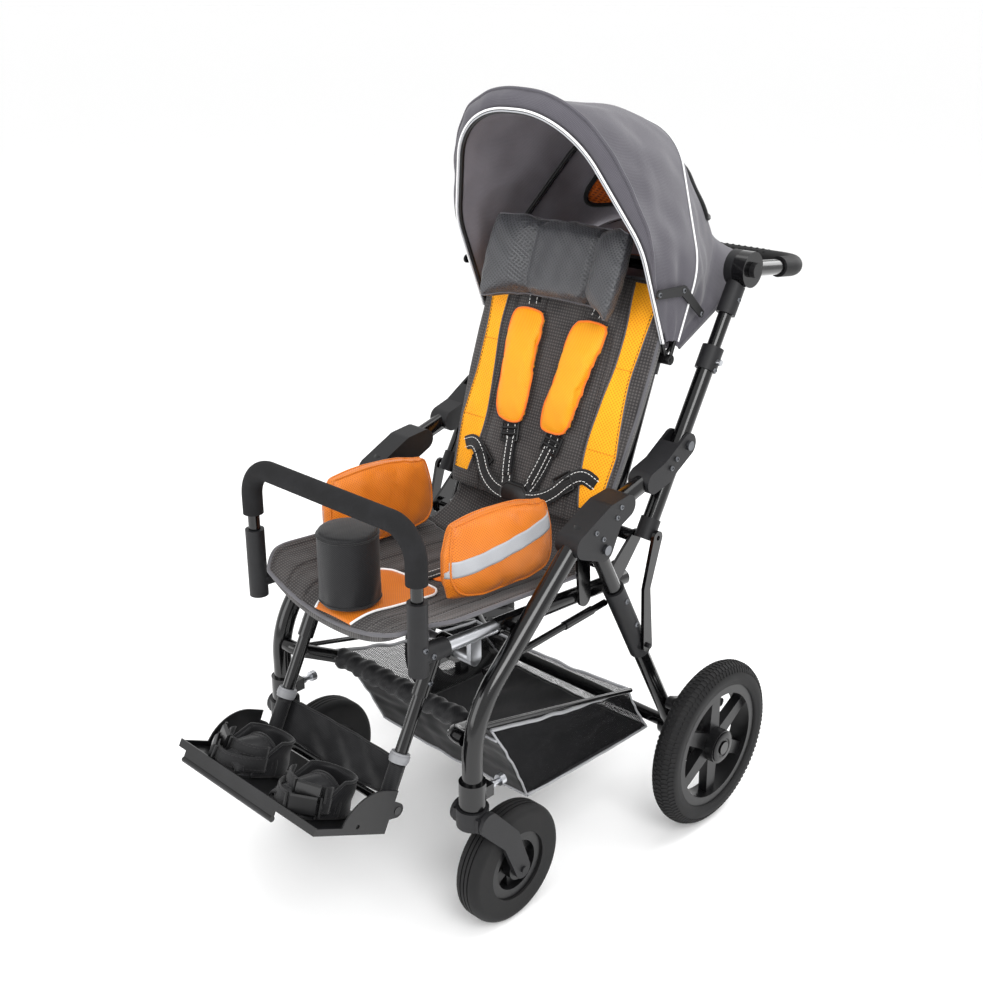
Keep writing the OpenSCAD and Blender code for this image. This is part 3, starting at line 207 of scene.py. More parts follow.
@dataclass(frozen=True)
class Hard:
    """A hard or rubber surface: paint, moulded plastic, metal, rubber or foam."""

    name: str
    base: str
    worn: str
    roughness: float
    grit_mm: float
    relief: float
    metallic: float = 0.0
    coat: float = 0.0
    stretch: tuple[float, float, float] = (1, 1, 1)
    gloss: float = 0.5

    def build(self) -> bpy.types.Material:
        """Builds the material: grit for bump, slow noise for wear in colour and gloss."""
        material, tree, shader = start_material(self.name)
        place = add(tree, "ShaderNodeTexCoord")
        spot = add(tree, "ShaderNodeMapping", {"Vector": place.outputs["Object"], "Scale": self.stretch})
        grit = add(tree, "ShaderNodeTexNoise", {"Vector": spot.outputs[0], "Scale": 1 / (self.grit_mm * MM),
                                                "Detail": 2.0})
        wear = add(tree, "ShaderNodeTexNoise", {"Vector": place.outputs["Object"], "Scale": 16.0,
                                                "Detail": 5.0, "Roughness": 0.65})
        amount = add(tree, "ShaderNodeMapRange",
                     {"Value": wear.outputs["Fac"], "From Min": 0.45, "From Max": 0.75})
        colour = add(tree, "ShaderNodeMix",
                     {0: amount.outputs[0], 6: linear(self.base), 7: linear(self.worn)}, data_type="RGBA")
        tree.links.new(colour.outputs[2], shader.inputs["Base Color"])
        rough = add(tree, "ShaderNodeMapRange", {"Value": wear.outputs["Fac"], "To Min": self.roughness * 0.8,
                                                 "To Max": min(1.0, self.roughness * 1.25)})
        tree.links.new(rough.outputs[0], shader.inputs["Roughness"])
        bump = add(tree, "ShaderNodeBump", {"Height": grit.outputs["Fac"], "Strength": self.relief,
                                            "Distance": self.grit_mm * MM * 0.3})
        tree.links.new(bump.outputs[0], shader.inputs["Normal"])
        shader.inputs["Metallic"].default_value = self.metallic
        shader.inputs["Specular IOR Level"].default_value = self.gloss
        shader.inputs["Coat Weight"].default_value = self.coat
        shader.inputs["Coat Roughness"].default_value = 0.08
        return material


class Finish(Enum):
    """Every finish on the buggy. Weaves finer than a pixel are drawn coarser so that they show."""

    # Baked enamel on steel tube: deep gloss with a faint orange peel
    ENAMEL = Hard("baked_enamel_black", "040405", "080809", 0.16, 2.5, 0.05, coat=0.25, gloss=0.35)
    # Enamel on folded sheet, a little duller than the tubes
    SHEET = Hard("enamel_sheet_black", "0B0B0C", "151517", 0.36, 1.5, 0.08, coat=0.1, gloss=0.35)
    # Glass-filled nylon out of a sparked mould: dull with a fine grain
    NYLON = Hard("glass_filled_nylon", "141416", "1D1D1F", 0.5, 0.9, 0.25, gloss=0.3)
    # Polypropylene, smooth and satin
    POLY = Hard("polypropylene_black", "0B0B0C", "131315", 0.36, 1.2, 0.12, gloss=0.35)
    GREY_POLY = Hard("polypropylene_grey", "7E7F82", "8C8D90", 0.45, 1.2, 0.12)
    # Zinc-plated steel, drawn along its length
    STEEL = Hard("zinc_plated_steel", "B9BBBF", "9FA1A5", 0.28, 0.8, 0.1, metallic=1.0, stretch=(1, 0.05, 1))
    # Blackened steel of screws and bolts
    DULL_STEEL = Hard("phosphated_steel", "6E7074", "54565A", 0.36, 0.8, 0.1, metallic=1.0)
    # Anodised aluminium tube, brushed along the tube
    ALLOY = Hard("anodised_aluminium", "C9CBCF", "B4B6BA", 0.3, 0.7, 0.12, metallic=1.0, stretch=(1, 0.04, 1))
    # Solid polyurethane and rubber tyres: matte, dusty on the high spots
    TYRE = Hard("solid_tyre_rubber", "121213", "1E1D1D", 0.66, 1.6, 0.3, gloss=0.25)
    # Closed-cell foam sleeve: dull skin full of small pores
    FOAM = Hard("closed_cell_foam", "1C1C1D", "262628", 0.88, 1.4, 0.6, gloss=0.15)
    # Soft rubber grip
    GRIP = Hard("moulded_rubber_grip", "0E0E0F", "171719", 0.6, 1.0, 0.35, gloss=0.25)
    # Polyester rib-knit mesh of the seat and back
    RIBBED = Cloth("rib_knit_polyester", "6C6866", "262425", 5.0, Weave.RIB, relief=0.7, crease_mm=4.0)
    # Spacer mesh of the headrest: shiny diagonal cells
    SPACER = Cloth("spacer_mesh_polyester", "3A3B3F", "0D0D0F", 4.4, Weave.SPACER, 0.38, 0.1, 0.5, 0.55)
    # Plain-woven polyester of the hood, drawn at 2.2 mm
    HOOD = Cloth("plain_woven_polyester", "5F5D63", "413F46", 2.2, Weave.PLAIN, 0.72, 0.15, 0.3,
                 crease_mm=14.0)
    # Inner face of the hood's cloth, painted lighter: painted light that brightens the hood's shaded inside
    LINING = Cloth("plain_woven_lining", "8F8B91", "6B686E", 2.2, Weave.PLAIN, 0.78, 0.1, 0.3, crease_mm=14.0)
    # Basket-woven orange polyester of the hip pads and the seat's tongue
    SATIN = Cloth("basket_weave_polyester_orange", "D2760F", "A54806", 3.0, Weave.SPACER, 0.45, 0.1, 0.3,
                  0.4, 6.0)
    # Warp-knit yellow-orange mesh of the side strips
    AMBER = Cloth("warp_knit_amber", "F7AA1A", "D87800", 4.4, Weave.SPACER, 0.6, 0.05, 0.5, 0.2, 5.0)
    # Twill of the shoulder pads: fine slanting ribs
    TWILL_AMBER = Cloth("polyester_twill_amber", "F0A31A", "D88606", 2.4, Weave.TWILL, 0.5, 0.05, 0.3,
                        0.25, 5.0)
    # Open orange mesh of the hood's vent
    VENT = Cloth("vent_mesh_orange", "D9691A", "7A3506", 5.0, Weave.SPACER, 0.7, 0.1, 0.6)
    # Nylon cloth of the pommel, headrest's rear, calf panel, sandals and basket
    NYLON_CLOTH = Cloth("nylon_oxford_black", "1D1D1F", "0B0B0D", 2.4, Weave.TWILL, 0.5, 0.1, 0.3, 0.2, 6.0)
    # Polyester webbing with ribs across it
    WEBBING = Cloth("polyester_webbing_black", "1A1A1C", "070708", 1.8, Weave.CORD, 0.7, 0.15, 0.6)
    # Bias binding and piping
    BINDING = Cloth("grosgrain_binding_grey", "636266", "454448", 1.6, Weave.CORD, 0.75, 0.2, 0.4)
    GREY_PIPING = Cloth("reflective_piping_grey", "AEAFB2", "86878B", 1.6, Weave.CORD, 0.5, 0.1, 0.3)
    DARK_BINDING = Cloth("grosgrain_binding_black", "18181A", "0B0B0C", 1.6, Weave.CORD, 0.75, 0.15, 0.4)
    ORANGE_BINDING = Cloth("grosgrain_binding_orange", "F77F22", "E0640E", 1.6, Weave.CORD, 0.7, 0.2, 0.4)
    WHITE_PIPING = Cloth("reflective_piping_white", "F4F4F4", "DADBDD", 1.6, Weave.CORD, 0.45, 0.1, 0.2)
    # Glass-bead reflective tape: silvery grey with a soft sparkle
    REFLECTOR = Cloth("glass_bead_tape", "B4B6BA", "9A9CA0", 1.2, Weave.PLAIN, 0.38, 0.0, 0.3, 0.5)
    THREAD = Cloth("sewing_thread_white", "EDEDEB", "CFCFCD", 0.8, Weave.CORD, 0.6, 0.1, 0.2)
    DARK_THREAD = Cloth("sewing_thread_grey", "2E2C2E", "1C1B1D", 0.8, Weave.CORD, 0.7, 0.1, 0.2)
    AMBER_THREAD = Cloth("sewing_thread_amber", "C8790A", "A9630A", 0.8, Weave.CORD, 0.7, 0.1, 0.2)
    # Basket net, drawn at 3.4 mm, with open holes
    BLACK_NET = Cloth("polyester_net_black", "18181A", "080809", 3.4, Weave.NET, 0.7, 0.0, 0.3, 0.1)

    def material(self) -> bpy.types.Material:
        """Gives the finish's material, built on first use."""
        return bpy.data.materials.get(self.value.name) or self.value.build()


# Meshes

def lie_on(direction: np.ndarray) -> tuple[np.ndarray, np.ndarray]:
    """Finds two unit vectors square to a direction.

    Args:
        direction: a unit vector.

    Returns:
        Two vectors that make a right-handed set with it.
    """
    guess = np.array([0.0, 0.0, 1.0]) if abs(direction[2]) < 0.9 else np.array([0.0, 1.0, 0.0])
    side = np.cross(direction, guess)
    side /= np.linalg.norm(side)
    return side, np.cross(side, direction)


def unit_rows(rows: Grid) -> Grid:
    """Scales each row to length 1."""
    return rows / np.maximum(np.linalg.norm(rows, axis=-1, keepdims=True), 1e-9)


def even_path(path: Sequence[Sequence[float]], step: float, closed: bool = False) -> Grid:
    """Spaces a polyline's points evenly.

    Args:
        path: corner points in millimetres.
        step: wanted spacing.
        closed: whether the last point joins the first.

    Returns:
        Points about a step apart.
    """
    points = np.array(path, float)
    if closed:
        points = np.vstack([points, points[:1]])
    lengths = np.concatenate([[0], np.cumsum(np.linalg.norm(np.diff(points, axis=0), axis=1))])
    count = max(2, int(round(lengths[-1] / step)) + 1)
    marks = np.linspace(0, lengths[-1], count)
    even = np.stack([np.interp(marks, lengths, points[:, k]) for k in range(3)], axis=1)
    return even[:-1] if closed else even


def smooth_path(path: Sequence[Sequence[float]], step: float, rounds: int = 3) -> Grid:
    """Rounds a polyline's corners by cutting them, then spaces it evenly.

    Args:
        path: corner points in millimetres.
        step: wanted spacing.
        rounds: how often corners are cut.

    Returns:
        Points about a step apart.
    """
    points = np.array(path, float)
    for _ in range(rounds):
        a, b = points[:-1], points[1:]
        cut = np.stack([a * 0.75 + b * 0.25, a * 0.25 + b * 0.75], axis=1).reshape(-1, 3)
        points = np.vstack([points[:1], cut, points[-1:]])
    return even_path(points, step)


def tangents(path: Grid, closed: bool = False) -> Grid:
    """Gives a path's unit tangents."""
    if closed:
        return unit_rows(np.roll(path, -1, 0) - np.roll(path, 1, 0))
    return unit_rows(np.gradient(path, axis=0))


def ring_faces(rings: int, count: int, looped: bool = False) -> Faces:
    """Gives the quads between rings of points that follow each other.

    Args:
        rings: number of rings.
        count: points in each.
        looped: whether the last ring joins the first.

    Returns:
        The faces.
    """
    faces: Faces = []
    for r in range(rings if looped else rings - 1):
        n = (r + 1) % rings
        for k in range(count):
            m = (k + 1) % count
            faces.append((r * count + k, r * count + m, n * count + m, n * count + k))
    return faces


def end_faces(rings: int, count: int) -> Faces:
    """Gives the faces that close the first and the last of some rings."""
    return [tuple(range(count - 1, -1, -1)), tuple(range((rings - 1) * count, rings * count))]


def swept(path: Grid, section: Grid, closed: bool = False, normals: Grid | None = None) -> Part:
    """Sweeps a closed section along a path.

    Args:
        path: points in millimetres.
        section: points as [side, up], in order round the section.
        closed: whether the path is a ring.
        normals: the up direction at each point; without it the section doesn't twist.

    Returns:
        Vertices, faces, and UV in millimetres for each vertex.
    """
    ahead = tangents(path, closed)
    if normals is None:
        ups = [lie_on(ahead[0])[1]]
        for t in ahead[1:]:
            up = ups[-1] - t * np.dot(ups[-1], t)
            ups.append(up / np.linalg.norm(up))
        up = np.array(ups)
    else:
        up = unit_rows(normals - ahead * np.sum(normals * ahead, axis=1, keepdims=True))
    side = np.cross(ahead, up)
    count, ring = len(path), len(section)
    verts = path[:, None] + side[:, None] * section[None, :, 0:1] + up[:, None] * section[None, :, 1:2]
    round_len = np.concatenate([[0], np.cumsum(np.linalg.norm(np.diff(section, axis=0), axis=1))])
    run = np.concatenate([[0], np.cumsum(np.linalg.norm(np.diff(path, axis=0), axis=1))])
    uv = np.stack(np.broadcast_arrays(round_len[None, :], run[:, None]), axis=-1)
    faces = ring_faces(count, ring, closed)
    if not closed:
        faces += end_faces(count, ring)
    return verts.reshape(-1, 3), faces, uv.reshape(-1, 2)


def round_section(radius: float, sides: int = 8) -> Grid:
    """Gives a round section."""
    angles = np.arange(sides) * 2 * math.pi / sides
    return np.stack([np.cos(angles), np.sin(angles)], axis=1) * radius


def flat_section(width: float, thick: float) -> Grid:
    """Gives a strap's section, standing on its path, with eased edges."""
    half, ease = width / 2, thick * 0.4
    return np.array([[-half, ease], [-half + ease, 0], [half - ease, 0], [half, ease],
                     [half, thick - ease], [half - ease, thick], [0, thick * 1.1], [-half + ease, thick],
                     [-half, thick - ease]])[::-1]


def grid_faces(rows: int, cols: int, start: int = 0, flip: bool = False) -> Faces:
    """Gives the quads of a grid of points.

    Args:
        rows: number of rows.
        cols: number of columns.
        start: index of the first point.
        flip: whether the faces turn the other way.

    Returns:
        The faces.
    """
    faces: Faces = []
    for r in range(rows - 1):
        for c in range(cols - 1):
            q = (start + r * cols + c, start + r * cols + c + 1, start + (r + 1) * cols + c + 1,
                 start + (r + 1) * cols + c)
            faces.append(q[::-1] if flip else q)
    return faces


def grid_uv(points: Grid) -> Grid:
    """Gives a grid's UV in millimetres, measured along its rows and columns from the middle."""
    across = np.concatenate([np.zeros((points.shape[0], 1)),
                             np.cumsum(np.linalg.norm(np.diff(points, axis=1), axis=2), axis=1)], axis=1)
    across -= across[:, across.shape[1] // 2:across.shape[1] // 2 + 1]
    down = np.concatenate([np.zeros((1, points.shape[1])),
                           np.cumsum(np.linalg.norm(np.diff(points, axis=0), axis=2), axis=0)], axis=0)
    return np.stack([across, down], axis=-1)


def shell(top: Grid, bottom: Grid) -> Part:
    """Closes two grids of points into one thin solid.

    Args:
        top: rows by columns by 3.
        bottom: the other side, with the same shape.

    Returns:
        Vertices, faces, and UV in millimetres for each vertex.
    """
    rows, cols = top.shape[:2]
    under = rows * cols
    faces = grid_faces(rows, cols) + grid_faces(rows, cols, under, True)
    edge = ([(0, c) for c in range(cols)] + [(r, cols - 1) for r in range(1, rows)]
            + [(rows - 1, c) for c in range(cols - 2, -1, -1)] + [(r, 0) for r in range(rows - 2, 0, -1)])
    ring = [r * cols + c for r, c in edge]
    for a, b in zip(ring, ring[1:] + ring[:1]):
        faces.append((b, a, under + a, under + b))
    uv = grid_uv(top)
    return np.vstack([top.reshape(-1, 3), bottom.reshape(-1, 3)]), faces, np.vstack([uv.reshape(-1, 2)] * 2)


def stacked(rings: Sequence[Grid], axes: Sequence[int] = (0, 1)) -> Part:
    """Closes rings of points, one after the other, into a solid.

    Args:
        rings: rings with the same number of points, in millimetres.
        axes: the two axes that its UV is taken along.

    Returns:
        Vertices, faces, and UV in millimetres for each vertex.
    """
    count, verts = len(rings[0]), np.vstack(rings)
    faces = ring_faces(len(rings), count) + end_faces(len(rings), count)
    return verts, faces, verts[:, list(axes)]


def turned(steps: Sequence[tuple[float, float]], sides: int) -> Part:
    """Closes steps of a radius and a height each into a turned solid."""
    return stacked([np.c_[round_section(radius, sides), np.full(sides, z)] for radius, z in steps])


def rounded(count: int, halves: tuple[float, float], powers: tuple[float, float]) -> tuple[Grid, Grid]:
    """Gives both coordinates of points round a box with rounded corners; a lower power is squarer."""
    angles = np.linspace(0, 2 * math.pi, count, endpoint=False)
    c, s = np.cos(angles), np.sin(angles)
    return (halves[0] * np.sign(c) * np.abs(c) ** powers[0],
            halves[1] * np.sign(s) * np.abs(s) ** powers[1])


def pillow(rim: Grid, high: float, place: Callable[[Grid, float], Grid]) -> Part:
    """Builds a stuffed cushion over an outline.

    Args:
        rim: outline points about the cushion's middle, in millimetres.
        high: how far the middle stands up.
        place: turns outline points and a height into places on the buggy.

    Returns:
        Vertices, faces, and UV in millimetres for each vertex.
    """
    shares = (1.0, 0.97, 0.9, 0.78, 0.6, 0.38, 0.14)
    under = [(k, -0.1 * high * (1 - k ** 3)) for k in shares[:0:-1]]
    levels = under + [(k, high * (1 - k ** 3) ** 0.5) for k in shares]
    verts = np.vstack([place(rim * k, h) for k, h in levels])
    faces = ring_faces(len(levels), len(rim)) + end_faces(len(levels), len(rim))
    return verts, faces, np.vstack([rim * k for k, _ in levels])


def grid_normals(points: Grid) -> Grid:
    """Gives a grid's unit normals."""
    return unit_rows(np.cross(np.gradient(points, axis=1), np.gradient(points, axis=0)))


def coons(top: Grid, low: Grid, near: Grid, far: Grid) -> Grid:
    """Fills four edge curves with a grid.

    Args:
        top: edge from the near corner to the far one.
        low: the edge opposite to it.
        near: edge from the top to the low edge.
        far: the edge opposite to it.

    Returns:
        Rows by columns by 3.
    """
    u = np.linspace(0, 1, len(top))[None, :, None]
    v = np.linspace(0, 1, len(near))[:, None, None]
    flat = (top[0] * (1 - u) + top[-1] * u) * (1 - v) + (low[0] * (1 - u) + low[-1] * u) * v
    return top[None] * (1 - v) + low[None] * v + near[:, None] * (1 - u) + far[:, None] * u - flat


def box_uv(mesh: bpy.types.Mesh) -> None:
    """Lays a UV map in metres on a mesh, each face seen along the axis that it faces most."""
    layer = mesh.uv_layers.get("UVMap") or mesh.uv_layers.new(name="UVMap")
    for face in mesh.polygons:
        axis = max(range(3), key=lambda k: abs(face.normal[k]))
        keep = [k for k in (1, 0, 2) if k != axis] if axis != 2 else [0, 1]
        for loop in face.loop_indices:
            co = mesh.vertices[mesh.loops[loop].vertex_index].co
            layer.data[loop].uv = (co[keep[0]], co[keep[1]])


def linked(name: str, data: bpy.types.ID) -> bpy.types.Object:
    """Makes an object from its data and puts it in the scene."""
    piece = bpy.data.objects.new(name, data)
    bpy.context.scene.collection.objects.link(piece)
    return piece


@dataclass
class Built:
    """Meshes that are gathered into one piece."""

    verts: list[Grid] = field(default_factory=list)
    uvs: list[Grid] = field(default_factory=list)
    faces: Faces = field(default_factory=list)
    slots: list[int] = field(default_factory=list)
    finishes: list[Finish] = field(default_factory=list)

    def put(self, part: Part, finish: Finish, mirror: bool = False) -> "Built":
        """Adds a mesh with a finish, and its mirror image on request.

        Args:
            part: vertices, faces and UV in millimetres.
            finish: what it is made of.
            mirror: whether the other side gets one too.

        Returns:
            This piece.
        """
        if finish not in self.finishes:
            self.finishes.append(finish)
        slot = self.finishes.index(finish)
        for side in ((1, -1) if mirror else (1,)):
            start = sum(len(v) for v in self.verts)
            self.verts.append(part[0] * np.array([side, 1, 1]))
            self.uvs.append(part[2])
            turned = part[1] if side > 0 else [f[::-1] for f in part[1]]
            self.faces += [tuple(i + start for i in f) for f in turned]
            self.slots += [slot] * len(part[1])
        return self

    def cord(self, line: Sequence[Sequence[float]], radius: float, finish: Finish, step: float = 6,
             rounds: int = 3, sides: int = 8, mirror: bool = False) -> "Built":
        """Adds a round cord along a line whose corners are cut some rounds."""
        return self.put(swept(smooth_path(line, step, rounds), round_section(radius, sides)), finish, mirror)

    def loop(self, line: Sequence[Sequence[float]], radius: float, finish: Finish, step: float = 5,
             sides: int = 6) -> "Built":
        """Adds a round cord along a line that closes on itself."""
        return self.put(swept(even_path(line, step, True), round_section(radius, sides), True), finish)

    def make(self, name: str) -> bpy.types.Object:
        """Makes the Blender object, with its faces turned outwards; each solid in it has to be closed.

        Args:
            name: the piece's name.

        Returns:
            The object, at the origin.
        """
        mesh = bpy.data.meshes.new(name)
        mesh.from_pydata((np.vstack(self.verts) * MM).tolist(), [], self.faces)
        uv = np.vstack(self.uvs) * MM
        layer = mesh.uv_layers.new(name="UVMap")
        corner = np.zeros(len(mesh.loops), np.int32)
        mesh.loops.foreach_get("vertex_index", corner)
        layer.data.foreach_set("uv", uv[corner].astype(np.float32).ravel())
        mesh.polygons.foreach_set("material_index", self.slots)
        mesh.polygons.foreach_set("use_smooth", [True] * len(self.slots))
        for finish in self.finishes:
            mesh.materials.append(finish.material())
        bm = bmesh.new()
        bm.from_mesh(mesh)
        bmesh.ops.recalc_face_normals(bm, faces=bm.faces)
        bm.to_mesh(mesh)
        bm.free()
        mesh.update()
        return linked(name, mesh)


def sharpen(piece: bpy.types.Object, degrees: float = 40) -> bpy.types.Object:
    """Keeps edges sharper than an angle crisp."""
    bm = bmesh.new()
    bm.from_mesh(piece.data)
    for edge in bm.edges:
        if len(edge.link_faces) == 2 and edge.calc_face_angle(0) > math.radians(degrees):
            edge.smooth = False
    bm.to_mesh(piece.data)
    bm.free()
    return piece


def ride(piece: bpy.types.Object, body: str, slot: str, *nodes: str) -> bpy.types.Object:
    """Puts a finished piece on its body and hides the nodes that it replaces.

    Args:
        piece: the piece.
        body: the body it moves with.
        slot: the record's material slot; not used.
        nodes: the nodes that it replaces.

    Returns:
        The piece.
    """
    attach(piece, body)
    if nodes:
        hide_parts(*nodes)
    LOG.info("%s on %s: %d faces", piece.name, body, len(piece.data.polygons))
    return piece


def node_copy(node: str, name: str, keep: Callable[[Vector], bool] | None = None) -> bpy.types.Object:
    """Copies a node's solid as a new merged mesh.

    Args:
        node: the node's name.
        name: the new object's name.
        keep: a test of a loose part's middle, to copy only some of them.

    Returns:
        The new object.
    """
    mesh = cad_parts[node].data.copy()
    mesh.name = name
    mesh.materials.clear()
    bm = bmesh.new()
    bm.from_mesh(mesh)
    bmesh.ops.remove_doubles(bm, verts=bm.verts, dist=1e-5)
    if keep:
        left = set(bm.verts)
        while left:
            part, stack = set(), [next(iter(left))]
            while stack:
                vert = stack.pop()
                if vert not in part:
                    part.add(vert)
                    stack += [e.other_vert(vert) for e in vert.link_edges]
            left -= part
            if not keep(sum((v.co for v in part), Vector()) / len(part)):
                bmesh.ops.delete(bm, geom=list(part), context="VERTS")
                left = {v for v in left if v.is_valid}
    bm.to_mesh(mesh)
    bm.free()
    return linked(name, mesh)


def settle(piece: bpy.types.Object) -> None:
    """Applies a piece's modifiers to its mesh."""
    graph = bpy.context.evaluated_depsgraph_get()
    mesh = bpy.data.meshes.new_from_object(piece.evaluated_get(graph))
    piece.modifiers.clear()
    old, piece.data = piece.data, mesh
    bpy.data.meshes.remove(old)
    mesh.name = piece.name


def positions(mesh: bpy.types.Mesh) -> Grid:
    """Gives a mesh's vertex positions in metres."""
    co = np.zeros(len(mesh.vertices) * 3, np.float32)
    mesh.vertices.foreach_get("co", co)
    return co.reshape(-1, 3).astype(float)


# How a pad is blown up: the cloth's inner pressure, and the frames that it runs for
PRESSURE = 4.0
BLOWN_FRAMES = 20


def inflate(piece: bpy.types.Object, voxel_mm: float, shrink_mm: float, cap_mm: float) -> None:
    """Stuffs a pad: remeshes it, blows it up as cloth, and caps how far it moves.

    Args:
        piece: a closed mesh.
        voxel_mm: the remesh size.
        shrink_mm: how far the shape is drawn in first, because the pad swells.
        cap_mm: the most that a point may move.
    """
    remesh = piece.modifiers.new("remesh", "REMESH")
    remesh.mode = "VOXEL"
    remesh.voxel_size = voxel_mm * MM
    relax = piece.modifiers.new("relax", "SMOOTH")
    relax.factor, relax.iterations = 0.5, 6
    settle(piece)
    mesh = piece.data
    normals = np.array([v.normal for v in mesh.vertices], float)
    start = positions(mesh) - normals * shrink_mm * MM
    mesh.vertices.foreach_set("co", start.astype(np.float32).ravel())
    mesh.update()
    cloth = piece.modifiers.new("cloth", "CLOTH")
    cloth.settings.quality = 5
    cloth.settings.use_pressure = True
    cloth.settings.uniform_pressure_force = PRESSURE
    cloth.settings.effector_weights.gravity = 0
    scene = bpy.context.scene
    for number in range(1, BLOWN_FRAMES + 1):
        scene.frame_set(number)
    moved = positions(piece.evaluated_get(bpy.context.evaluated_depsgraph_get()).data)
    piece.modifiers.clear()
    scene.frame_set(1)
    step = moved - start
    far = np.linalg.norm(step, axis=1, keepdims=True)
    start = start + step * np.minimum(1, cap_mm * MM / np.maximum(far, 1e-9))
    mesh.vertices.foreach_set("co", start.astype(np.float32).ravel())
    mesh.update()
    finer = piece.modifiers.new("finer", "SUBSURF")
    finer.levels = finer.render_levels = 1
    settle(piece)
    piece.data.polygons.foreach_set("use_smooth", [True] * len(piece.data.polygons))


def press(piece: bpy.types.Object, depth: Callable[[Grid], Grid]) -> None:
    """Moves a piece's points along their normals.

    Args:
        piece: the piece.
        depth: positions in millimetres to movement outwards in millimetres.
    """
    co = positions(piece.data)
    normals = np.array([v.normal for v in piece.data.vertices], float)
    co += normals * (depth(co / MM) * MM)[:, None]
    piece.data.vertices.foreach_set("co", co.astype(np.float32).ravel())
    piece.data.update()


def surface(piece: bpy.types.Object) -> BVHTree:
    """Gives a search tree of a piece's faces."""
    mesh = piece.data
    return BVHTree.FromPolygons([v.co for v in mesh.vertices], [tuple(p.vertices) for p in mesh.polygons])


def snapped(path: Grid, piece: bpy.types.Object, lift: float) -> Grid:
    """Lays a path on a piece's surface.

    Args:
        path: points in millimetres.
        piece: the mesh that carries it.
        lift: height above the surface in millimetres.

    Returns:
        The laid points in millimetres.
    """
    tree = surface(piece)
    points = []
    for p in path:
        co, normal, _, _ = tree.find_nearest(Vector(p * MM))
        points.append(np.array(co) / MM + np.array(normal) * lift)
    return np.array(points)


# Repeats made by Geometry Nodes

